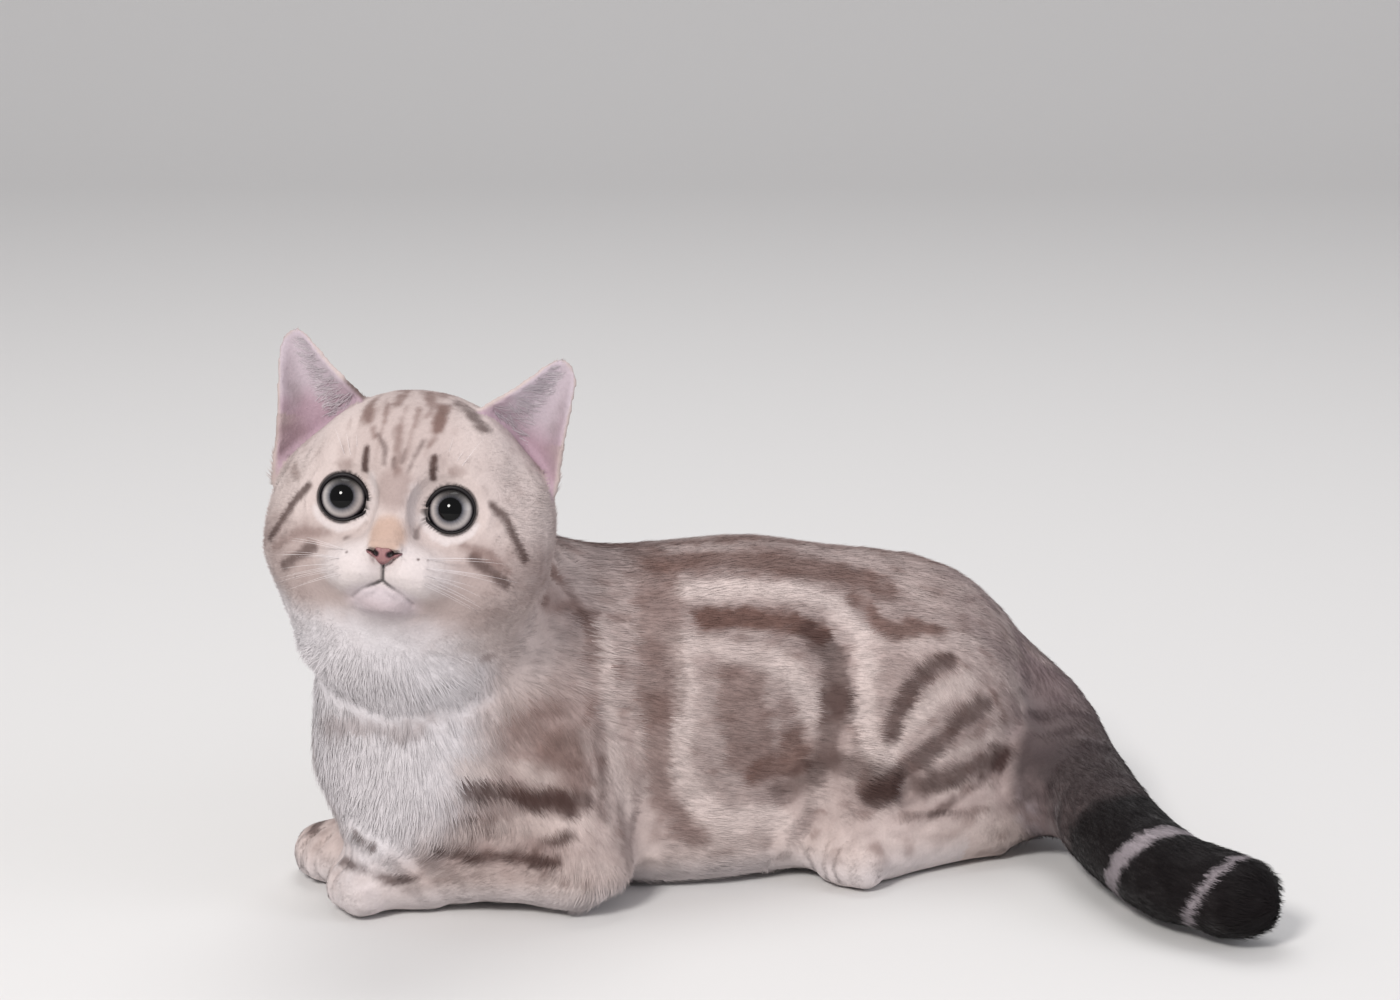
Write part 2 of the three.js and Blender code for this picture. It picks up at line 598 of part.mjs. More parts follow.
// The head takes its lids, then gives way to the eyes, the nose and the line of the mouth.
const EAR_SEAM_SCALE = 1.012;
const seamShift = new THREE.Matrix4().makeTranslation(0, 20, 0);
const seamScale = new THREE.Matrix4().makeScale(EAR_SEAM_SCALE, EAR_SEAM_SCALE, EAR_SEAM_SCALE);
const seamGrowth = seamShift.clone().multiply(seamScale).multiply(seamShift.clone().invert());
const grownHead = bareHead.transform([...seamGrowth.elements]);
const faceParts = { nose: noseSolid(0) };
let wholeHead = bareHead;
for (const [name, side] of Object.entries(SIDES)) {
  const { ball, lid } = eyeOf(side);
  faceParts[`eye_${name}`] = ball(0);
  faceParts[`ear_${name}`] = earOf(side).subtract(grownHead);
  faceParts.nose = faceParts.nose.subtract(nostril(side));
  wholeHead = wholeHead.add(lid).subtract(ball(SEAM));
}
for (const line of [parting, ...lips]) wholeHead = wholeHead.subtract(line);
wholeHead = wholeHead.subtract(noseSolid(SEAM));
take("head", wholeHead.transform([...headMatrix.elements]), headKnife);
for (const [name, solid] of Object.entries(faceParts)) {
  cuts.push({ name, solid: solid.transform([...headMatrix.elements]) });
}

const trunkMesh = solidOf(surfaceOf(lowBody, ...trunkBox, TRUNK_STEP));
const neckMesh = solidOf(surfaceOf(coat, ...boxRound([neckRoot, nape, throat], 52), NECK_STEP));
const legMeshes = {};
for (const [side, leg] of Object.entries(forelegs)) {
  const box = boxRound([leg.shoulder, leg.elbow, leg.wrist, leg.tip], 34);
  legMeshes[`fore_${side}`] = solidOf(surfaceOf(lowBody, ...box, LEG_STEP));
  const { elbow, wrist, tip, width } = leg;
  const centre = between(wrist, tip, 0.5);
  const pawMesh = solidOf(surfaceOf(lowBody, ...boxRound([centre], 27), PAW_STEP));
  take(`forepaw_${side}`, pawMesh, eggAt(centre, point(0.8 * width, 0.7 * width, 0.8 * width)));
  const limbMesh = legMeshes[`fore_${side}`];
  take(`forearm_${side}`, limbMesh, limbKnife(between(elbow, wrist, 0.1), wrist, 0.62 * width));
  const upperEnd = between(leg.shoulder, elbow, 0.7);
  take(`upper_arm_${side}`, limbMesh, limbKnife(leg.shoulder, upperEnd, 0.95 * width));
}
for (const [side, leg] of Object.entries(hindLegs)) {
  const box = boxRound([leg.hip, leg.knee, leg.hock, leg.tip], 44);
  legMeshes[`hind_${side}`] = solidOf(surfaceOf(lowBody, ...box, LEG_STEP));
  const { hip, knee, hock, tip, width } = leg;
  const toeStep = (place) => (place < tip.x + 24 ? PAW_STEP : LEG_STEP);
  const footStep = { x: toeStep, y: () => PAW_STEP * 1.15, z: () => PAW_STEP * 1.25 };
  const footMesh = solidOf(surfaceOf(lowBody, ...boxRound([hock, tip], 24), footStep));
  take(`hind_foot_${side}`, footMesh, limbKnife(between(hock, tip, 0.2), tip, 0.62 * width));
  const thighKnife = eggAt(between(hip, knee, 0.5), point(45, 24, 36), turned(0, 22, 0));
  take(`thigh_${side}`, legMeshes[`hind_${side}`], thighKnife);
}
const tailBox = boxRound(tailLine.getPoints(8), 30);
const tailMesh = solidOf(surfaceOf(lowBody, ...tailBox, TAIL_STEP));
const TAIL_KNIFE = 110;
const alongTail = (share) => beyond(tailLine.getPoint(share), tailLine.getTangent(share), TAIL_KNIFE);
take("tail_tip", tailMesh, alongTail(0.76));
take("tail_middle", tailMesh, alongTail(0.5));
take("tail_base", tailMesh, limbKnife(tailLine.getPoint(0.2), tailLine.getPoint(0.5), 0.72 * TAIL_WIDTH));
take("neck", neckMesh, neckKnife);
take("chest", trunkMesh, beyond(onTrunk(0.33, 0, 0.5), point(-1, 0, 0)));
take("rump", trunkMesh, beyond(onTrunk(0.67, 0, 0.5), point(1, 0, 0)));
take("belly", trunkMesh);

// How far a node's surface may move when its mesh is slimmed, below half of the seam.
const BODY_TOLERANCE = 0.11;
const TOLERANCE = {
  head: 0.06,
  nose: 0.04,
  eye_left: 0.01,
  eye_right: 0.01,
  ear_left: 0.06,
  ear_right: 0.06,
};

// Colours by the start of a node's name.
const COAT_COLOURS = {
  head: 0xbdb0ad,
  neck: 0xc6bbb9,
  chest: 0xcfc6c5,
  belly: 0xaf9f9c,
  rump: 0x9c8d8a,
  upper_arm: 0xb5a6a3,
  forearm: 0xa8989b,
  forepaw: 0xbdb0b0,
  thigh: 0xa8989b,
  hind_foot: 0xb5a8a6,
  tail_base: 0x6f6363,
  tail_middle: 0x5a5050,
  tail_tip: 0x241f20,
  ear: 0xc4b2b8,
};
const furOf = (name) => {
  const part = Object.keys(COAT_COLOURS).find((start) => name.startsWith(start));
  return new THREE.MeshStandardMaterial({ color: COAT_COLOURS[part], roughness: 0.92 });
};
const SKINS = {
  nose: new THREE.MeshStandardMaterial({ color: 0x8e6468, roughness: 0.55 }),
  eye: new THREE.MeshPhysicalMaterial({ color: 0x8f9a92, roughness: 0.1, clearcoat: 1 }),
};

const kitten = new THREE.Group();
for (const { name, solid } of cuts) {
  const geometry = slimmed(largestBody(solid), TOLERANCE[name] ?? BODY_TOLERANCE);
  geometry.computeVertexNormals();
  const mesh = new THREE.Mesh(geometry, SKINS[name.split("_")[0]] ?? furOf(name));
  mesh.name = name;
  kitten.add(mesh);
}

// The origin goes to the middle of the whole box, at floor level.
const whole = new THREE.Box3().setFromObject(kitten);
const middle = whole.getCenter(new THREE.Vector3());
for (const mesh of kitten.children) mesh.geometry.translate(-middle.x, -middle.y, -whole.min.z);
export default kitten;
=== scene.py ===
"""A munchkin kitten at life size, as a still model: skin, coat, eyes, nose, ears and whiskers.

Metres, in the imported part's frame. The head is at -X and the kitten's left side faces -Y.
"""

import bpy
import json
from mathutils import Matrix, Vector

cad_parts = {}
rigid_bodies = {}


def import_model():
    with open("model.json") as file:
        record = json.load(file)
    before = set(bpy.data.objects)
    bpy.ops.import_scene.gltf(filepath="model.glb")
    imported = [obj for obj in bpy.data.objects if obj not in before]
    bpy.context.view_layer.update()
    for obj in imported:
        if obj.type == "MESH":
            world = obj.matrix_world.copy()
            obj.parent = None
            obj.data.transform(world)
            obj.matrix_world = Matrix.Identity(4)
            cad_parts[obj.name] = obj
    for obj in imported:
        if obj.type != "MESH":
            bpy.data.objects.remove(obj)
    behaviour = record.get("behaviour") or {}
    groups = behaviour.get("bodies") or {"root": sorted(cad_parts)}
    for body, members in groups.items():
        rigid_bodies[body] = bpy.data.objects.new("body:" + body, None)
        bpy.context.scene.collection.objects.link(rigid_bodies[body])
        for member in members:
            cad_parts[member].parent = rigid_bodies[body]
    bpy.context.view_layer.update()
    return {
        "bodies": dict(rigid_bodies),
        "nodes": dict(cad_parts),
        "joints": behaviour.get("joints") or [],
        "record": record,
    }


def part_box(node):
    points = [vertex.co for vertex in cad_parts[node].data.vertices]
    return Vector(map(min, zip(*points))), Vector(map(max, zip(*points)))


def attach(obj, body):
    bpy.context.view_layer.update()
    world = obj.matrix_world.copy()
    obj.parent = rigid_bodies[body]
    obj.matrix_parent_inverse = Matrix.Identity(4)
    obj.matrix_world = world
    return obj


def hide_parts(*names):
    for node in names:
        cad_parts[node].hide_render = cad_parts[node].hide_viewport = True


bl_info = {
    "name": "Munchkin kitten",
    "version": (1, 0, 0),
    "blender": (4, 5, 0),
    "location": "3D View > Sidebar > Kitten",
    "description": "Dresses the solids of a lying munchkin kitten in its skin and coat",
    "category": "Add Mesh",
}

import json
import math

import bmesh
import bpy
import numpy as np
from mathutils import Matrix, Vector
from mathutils.bvhtree import BVHTree

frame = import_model()
NODES = frame["nodes"]

MM = 0.001
SIDES = {"left": 1, "right": -1}
EAR_NODES = ("ear_left", "ear_right")
EYE_NODES = ("eye_left", "eye_right")
FLESH_NODES = tuple(sorted(set(NODES) - set(EYE_NODES) - {"nose"}))

# The head's own frame, as in the solids: origin midway between the eyeballs' centres, x to the
# kitten's left, y into the skull, z up, in millimetres.
HEAD_YAW = -28.5
HEAD_PITCH = -13
HEAD_ROLL = 5.8
EYE_OUT = 15.5
EYEBALL_RADIUS = 8.6


def turn_about(axis, degrees):
    """The 3x3 rotation about an axis."""
    return np.array(Matrix.Rotation(math.radians(degrees), 3, axis))


HEAD_TURN = turn_about("Z", HEAD_YAW) @ turn_about("X", HEAD_PITCH) @ turn_about("Y", HEAD_ROLL)
HEAD_AT = np.mean([np.array(corner) for name in EYE_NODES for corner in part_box(name)], axis=0)


def on_head(points):
    """Places given in the head's frame, in millimetres, as places in metres."""
    return HEAD_AT + np.asarray(points, float) * MM @ HEAD_TURN.T


def in_head(points):
    """Places in metres, in the head's frame, in millimetres."""
    return (np.asarray(points, float) - HEAD_AT) @ HEAD_TURN / MM


# Places on the body, in millimetres.
MIDLINE = 47
TAIL_LINE = (
    (101, 50, 50),
    (121, 38, 35),
    (116, -3, 22),
    (107, -47, 17),
    (106, -79, 15),
    (114, -101, 14),
    (122, -121, 14),
)


def linear(hex_colour):
    """An sRGB hex colour as linear red, green and blue."""
    channels = [int(hex_colour[n : n + 2], 16) / 255 for n in (1, 3, 5)]
    return tuple(c / 12.92 if c <= 0.04045 else ((c + 0.055) / 1.055) ** 2.4 for c in channels)


def colour_of(name, description, hex_colour):
    """A colour that a user may change."""
    return bpy.props.FloatVectorProperty(
        name=name, description=description, default=linear(hex_colour), subtype="COLOR", min=0, max=1
    )


def length_of(name, description, millimetres):
    """A length that a user may change."""
    return bpy.props.FloatProperty(
        name=name, description=description, default=millimetres * MM, subtype="DISTANCE", unit="LENGTH"
    )


class KittenSizes(bpy.types.PropertyGroup):
    """Sizes of the skin, the coat and the face."""

    skin_step: length_of("Skin step", "Edge of the skin's mesh on the trunk", 1.8)
    body_hair: length_of("Body hair", "Length of the hair on the trunk", 5.6)
    chest_hair: length_of("Chest hair", "Length of the hair on the chest and throat", 7.5)
    leg_hair: length_of("Leg hair", "Length of the hair on the legs", 4.0)
    paw_hair: length_of("Paw hair", "Length of the hair on the paws", 2.3)
    tail_hair: length_of("Tail hair", "Length of the hair on the tail", 5.6)
    face_hair: length_of("Face hair", "Length of the shortest hair, beside the nose", 1.2)
    cheek_hair: length_of("Cheek hair", "Length of the hair at the back of the cheeks", 4.4)
    ear_hair: length_of("Ear hair", "Length of the hair on the back of the ears", 2.0)
    aperture: length_of("Eye opening", "Radius of the opening between the lids", 6.7)
    pupil: length_of("Pupil", "Radius of the pupil", 3.3)
    whisker: length_of("Whisker", "Length of the longest whiskers", 27.0)
    coverage: bpy.props.FloatProperty(
        name="Coverage",
        description="How many tufts lie over each place of the skin",
        default=4.6,
        min=0.5,
        max=9,
    )


class KittenColours(bpy.types.PropertyGroup):
    """Colours of the coat, the eyes and the bare skin."""

    light: colour_of("Light coat", "Sides of the forehead and the cheeks", "#CCBDB9")
    pale: colour_of("Pale arches", "Pale arches between the marks on the flanks", "#D3C3BE")
    ticked: colour_of("Ticked coat", "Ground colour of the back and the flanks", "#A99793")
    dark: colour_of("Dark marks", "Tabby marks on the flanks", "#70564F")
    deep: colour_of("Deep marks", "Darkest marks on the face and the forelegs", "#4A3632")
    white: colour_of("White coat", "Chest, muzzle and chin", "#DDD8DB")
    bright: colour_of("Rims of the eyes", "Brightest hair, below the eyes and on the lips", "#D8CECD")
    # The smoke colour is also painted as shade under the chin and in the cups of the ears.
    smoke_and_shade: colour_of("Smoke coat", "Rump and the root of the tail", "#786668")
    black: colour_of("Black coat", "Bands and tip of the tail", "#0C080A")
    ring: colour_of("Tail rings", "Pale rings between the tail's bands", "#A39A9F")
    tan: colour_of("Tan bridge", "Warm hair above the nose", "#BDA192")
    ear_skin: colour_of("Ear skin", "Thinly haired skin inside the ears", "#C2B5BE")
    ear_pink: colour_of("Ear root", "Barer skin low inside the ears", "#B59BA8")
    ear_hair_pale: colour_of("Ear tufts", "Long pale hair across the inside of the ears", "#D3C9CF")
    nose: colour_of("Nose leather", "Bare skin of the nose", "#966C6C")
    rim: colour_of("Lid margin", "Bare skin along the lids and lips", "#151013")
    iris: colour_of("Iris", "Middle of the iris", "#B1ABA9")
    iris_inner: colour_of("Iris round the pupil", "Inner edge of the iris", "#55555B")
    keratin: colour_of("Whisker", "Whiskers and brow hairs", "#E2DBDC")


def sizes():
    """The sizes that the panel shows."""
    return bpy.context.scene.kitten_sizes


def colours():
    """The colours that the panel shows."""
    return bpy.context.scene.kitten_colours


# Meshes as arrays


def read_array(items, field, width, kind=np.float32):
    """One field of a mesh's items as an array, with a row for each item where it has several values."""
    values = np.zeros(len(items) * width, kind)
    items.foreach_get(field, values)
    return values.reshape(-1, width) if width > 1 else values


def points_of(mesh):
    """A mesh's vertices as an array."""
    return read_array(mesh.vertices, "co", 3).astype(float)


def set_points(mesh, places):
    """Moves a mesh's vertices to the places in an array."""
    mesh.vertices.foreach_set("co", np.asarray(places, np.float32).ravel())
    mesh.update()


def normals_of(mesh):
    """A mesh's vertex normals as an array."""
    return read_array(mesh.vertex_normals, "vector", 3).astype(float)


def unit(vectors):
    """Vectors at length one."""
    return vectors / np.maximum(np.linalg.norm(vectors, axis=-1, keepdims=True), 1e-12)


def laid_along(vectors, normals):
    """Vectors turned into the surface that has these normals, at length one."""
    return unit(vectors - (vectors * normals).sum(1)[:, None] * normals)


def bell(values):
    """1 at zero, falling softly to 0 on both sides."""
    return np.exp(-(values**2))


def eased(low, high, values):
    """0 below low and 1 above high, with a smooth rise between."""
    share = np.clip((values - low) / (high - low), 0, 1)
    return share * share * (3 - 2 * share)


def line_distance(points, line):
    """How far each point is from a line of straight runs, and how far along the line it is nearest."""
    line = np.asarray(line, float)
    nearest = np.full(len(points), np.inf)
    along = np.zeros(len(points))
    passed = 0.0
    for start, end in zip(line[:-1], line[1:]):
        run = end - start
        length = np.linalg.norm(run)
        share = np.clip((points - start) @ run / (length * length), 0, 1)
        distance = np.linalg.norm(points - start - share[:, None] * run, axis=1)
        closer = distance < nearest
        nearest = np.where(closer, distance, nearest)
        along = np.where(closer, passed + share * length, along)
        passed += length
    return nearest, along


LATTICE_SIZE = 4096
LATTICE_PRIMES = (73856093, 19349663, 83492791)


def cloud(points, size, seed):
    """Soft random blotches from -1 to 1, of a given size, at points in millimetres."""
    lattice = np.random.default_rng(seed).uniform(-1, 1, LATTICE_SIZE)
    scaled = points / size
    cell = np.floor(scaled).astype(np.int64)
    share = scaled - cell
    share = share * share * (3 - 2 * share)
    total = np.zeros(len(points))
    for corner in np.ndindex(2, 2, 2):
        key = (cell + corner) * LATTICE_PRIMES
        value = lattice[(key[:, 0] ^ key[:, 1] ^ key[:, 2]) % LATTICE_SIZE]
        weight = np.prod(np.where(corner, share, 1 - share), axis=1)
        total += value * weight
    return total


# Objects and materials


def in_scene(name, data):
    """A new object in the scene."""
    thing = bpy.data.objects.new(name, data)
    bpy.context.scene.collection.objects.link(thing)
    return thing


def finished(mesh, name, material):
    """An object for a finished mesh, riding on the part's one body."""
    piece = in_scene(name, mesh)
    mesh.materials.append(material)
    mesh.shade_smooth()
    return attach(piece, "root")


def mesh_from(carrier):
    """The mesh that an object's curve or modifiers make. The object itself is removed."""
    graph = bpy.context.evaluated_depsgraph_get()
    mesh = bpy.data.meshes.new_from_object(carrier.evaluated_get(graph))
    bpy.data.objects.remove(carrier)
    return mesh


def merged(mesh, distance):
    """A bmesh of a mesh, with the corners joined that are nearer than a distance."""
    shape = bmesh.new()
    shape.from_mesh(mesh)
    bmesh.ops.remove_doubles(shape, verts=shape.verts, dist=distance)
    return shape


def from_bmesh(shape, name):
    """A mesh made from a bmesh, which is freed."""
    mesh = bpy.data.meshes.new(name)
    shape.to_mesh(mesh)
    shape.free()
    return mesh


def add_node(tree, kind, settings=None, links=None):
    """Adds a node, with its settings by name, and numbers or other nodes' outputs for its inputs."""
    node = tree.nodes.new(kind)
    for name, value in (settings or {}).items():
        setattr(node, name, value)
    for name, value in (links or {}).items():
        if isinstance(value, bpy.types.NodeSocket):
            tree.links.new(value, node.inputs[name])
        else:
            node.inputs[name].default_value = value
    return node


def attribute(tree, name, output):
    """The output of a node that reads a mesh attribute."""
    return add_node(tree, "ShaderNodeAttribute", {"attribute_name": name}).outputs[output]


def object_place(tree):
    """The place on the object, in metres."""
    return add_node(tree, "ShaderNodeTexCoord").outputs["Object"]


def between(tree, value, low, high):
    """A value from 0 to 1 carried over to a range between two others."""
    node = add_node(tree, "ShaderNodeMapRange", links={"Value": value, "To Min": low, "To Max": high})
    return node.outputs["Result"]


def scaled(tree, colour, factor):
    """A colour times a number."""
    links = {"Vector": colour, "Scale": factor}
    return add_node(tree, "ShaderNodeVectorMath", {"operation": "SCALE"}, links).outputs["Vector"]


def bumped(tree, height, strength, distance):
    """The direction of a surface with small bumps, from their height."""
    links = {"Height": height, "Strength": strength, "Distance": distance}
    return add_node(tree, "ShaderNodeBump", links=links).outputs["Normal"]


def new_material(name):
    """An empty material and its node tree."""
    material = bpy.data.materials.new(name)
    material.use_nodes = True
    material.node_tree.nodes.clear()
    return material, material.node_tree


def finish_material(tree, links):
    """Ends a material in a Principled surface with the given inputs."""
    surface = add_node(tree, "ShaderNodeBsdfPrincipled", links=links)
    output = add_node(tree, "ShaderNodeOutputMaterial")
    tree.links.new(surface.outputs["BSDF"], output.inputs["Surface"])


def set_ramp(node, stops):
    """Gives a Color Ramp its stops, each a place and a linear colour."""
    ramp = node.color_ramp
    while len(ramp.elements) < len(stops):
        ramp.elements.new(1)
    for element, (place, colour) in zip(ramp.elements, stops):
        element.position = place
        element.color = (*colour, 1)


def hair_material():
    """Short kitten hair: matt as a coat with a faint sheen, paler towards each tuft's tip and darker at its
    root, partly ticking and partly painted shade.
    """
    found = bpy.data.materials.get("kitten_hair")
    if found:
        return found
    material, tree = new_material("kitten_hair")
    # Painted shade: each tuft is darker at its root, where the tufts shade each other, and paler at its
    # ticked tip.
    shade = between(tree, attribute(tree, "Along", "Fac"), 0.84, 1.03)
    finish_material(
        tree,
        {
            "Base Color": scaled(tree, attribute(tree, "Coat", "Color"), shade),
            "Roughness": 0.62,
            "Specular IOR Level": 0.12,
            "Sheen Weight": 0.04,
            "Sheen Roughness": 0.5,
        },
    )
    return material


def pelt_material():
    """The skin under the coat: matt down with a fine nap, in the coat's own marks."""
    material, tree = new_material("kitten_down")
    # The nap is 0.9 mm, coarser than real down, so that it shows.
    nap_links = {"Vector": object_place(tree), "Scale": 1100.0, "Detail": 3.0}
    nap = add_node(tree, "ShaderNodeTexNoise", links=nap_links).outputs["Fac"]
    shade = between(tree, nap, 0.84, 1.04)
    finish_material(
        tree,
        {
            "Base Color": scaled(tree, attribute(tree, "Coat", "Color"), shade),
            "Roughness": 0.85,
            "Specular IOR Level": 0.2,
            "Sheen Weight": 0.1,
            "Normal": bumped(tree, nap, 0.5, 0.0004),
        },
    )
    return material


def nose_material():
    """Nose leather: bare pebbled skin, slightly moist, darker round its edge, with painted shade in the
    nostrils.
    """
    tones = colours()
    material, tree = new_material("nose_leather")
    pebble_links = {"Vector": object_place(tree), "Scale": 2200.0}
    pebbles = add_node(tree, "ShaderNodeTexVoronoi", {"feature": "SMOOTH_F1"}, pebble_links)
    # Dusk runs from the leather's own darker edge to the painted shade in the nostrils.
    colour = add_node(tree, "ShaderNodeValToRGB", links={"Fac": attribute(tree, "Dusk", "Fac")})
    set_ramp(colour, [(0, tones.nose), (0.5, linear("#6E434A")), (1, linear("#1B0C0E"))])
    finish_material(
        tree,
        {
            "Base Color": colour.outputs["Color"],
            "Roughness": 0.55,
            "Subsurface Weight": 0.1,
            "Subsurface Radius": (0.002, 0.001, 0.0007),
            "Subsurface Scale": 0.5,
            "Coat Weight": 0.15,
            "Coat Roughness": 0.3,
            "Normal": bumped(tree, pebbles.outputs["Distance"], 0.35, 0.00015),
        },
    )
    return material


def rim_material():
    """Lid margin: dark bare skin with a faint, soft shine, so that the eye looks outlined."""
    material, tree = new_material("lid_margin")
    creases = add_node(tree, "ShaderNodeTexNoise", links={"Vector": object_place(tree), "Scale": 1500.0})
    finish_material(
        tree,
        {
            "Base Color": (*colours().rim, 1),
            "Roughness": 0.5,
            "Specular IOR Level": 0.25,
            "Normal": bumped(tree, creases.outputs["Fac"], 0.2, 0.0001),
        },
    )
    return material


def eye_material():
    """A kitten's eye: fibres of the iris run out from the pupil under a wet, clear cornea."""
    tones = colours()
    material, tree = new_material("wet_eye")
    place = add_node(tree, "ShaderNodeUVMap", {"uv_map": "Iris"})
    centred = add_node(
        tree,
        "ShaderNodeVectorMath",
        {"operation": "SUBTRACT"},
        {0: place.outputs["UV"], 1: (0.5, 0.5, 0)},
    )
    radius = add_node(tree, "ShaderNodeVectorMath", {"operation": "LENGTH"}, {0: centred.outputs["Vector"]})
    direction = add_node(
        tree, "ShaderNodeVectorMath", {"operation": "NORMALIZE"}, {0: centred.outputs["Vector"]}
    )
    fibres = add_node(
        tree,
        "ShaderNodeTexNoise",
        links={"Vector": direction.outputs["Vector"], "Scale": 14.0, "Detail": 5.0, "Roughness": 0.65},
    )
    waver = add_node(
        tree,
        "ShaderNodeMath",
        {"operation": "MULTIPLY_ADD"},
        {0: fibres.outputs["Fac"], 1: 0.03, 2: radius.outputs["Value"]},
    )
    # Radii are shares of the eyeball's diameter, as the map gives them.
    pupil = sizes().pupil / MM / EYEBALL_RADIUS / 2
    iris = add_node(tree, "ShaderNodeValToRGB", links={"Fac": waver.outputs["Value"]})
    black = linear("#050506")
    stops = [
        (pupil, black),
        (pupil + 0.022, tones.iris_inner),
        (0.262, linear("#928E8F")),
        (0.3, tones.iris),
        (0.33, linear("#A39D9B")),
        (0.358, linear("#5E595C")),
        (0.375, linear("#1C1A1D")),
        (0.41, black),
    ]
    set_ramp(iris, stops)
    streaked = scaled(tree, iris.outputs["Color"], between(tree, fibres.outputs["Fac"], 0.7, 1.25))
    # A painted shadow darkens the top of the iris, where the upper lid and its lashes keep the light off.
    height = add_node(tree, "ShaderNodeSeparateXYZ", links={"Vector": centred.outputs["Vector"]})
    shadow = add_node(
        tree,
        "ShaderNodeMapRange",
        {"interpolation_type": "SMOOTHSTEP"},
        {"Value": height.outputs["Y"], "From Min": 0.02, "From Max": 0.3, "To Min": 1.0, "To Max": 0.08},
    )
    finish_material(
        tree,
        {
            "Base Color": scaled(tree, streaked, shadow.outputs["Result"]),
            "Roughness": 0.35,
            "Specular IOR Level": 0.0,
            "Coat Weight": 0.8,
            "Coat Roughness": 0.01,
            "Coat IOR": 1.34,
        },
    )
    return material


def keratin_material():
    """Whiskers: thick, smooth keratin bristles, almost white with a soft gloss."""
    material, tree = new_material("whisker_keratin")
    colour = add_node(tree, "ShaderNodeValToRGB", links={"Fac": attribute(tree, "Along", "Fac")})
    set_ramp(colour, [(0, linear("#CFC6C6")), (1, colours().keratin)])
    finish_material(
        tree, {"Base Color": colour.outputs["Color"], "Roughness": 0.4, "Specular IOR Level": 0.4}
    )
    return material


def paper_material():
    """Seamless studio paper: matt and pale, with the faintest tooth."""
    material, tree = new_material("studio_paper")
    tooth = add_node(tree, "ShaderNodeTexNoise", links={"Vector": object_place(tree), "Scale": 400.0})
    finish_material(
        tree,
        {
            "Base Color": (*linear("#DAD9D8"), 1),
            "Roughness": 0.9,
            "Specular IOR Level": 0.1,
            "Normal": bumped(tree, tooth.outputs["Fac"], 0.05, 0.0002),
        },
    )
    return material


# The coat's marks

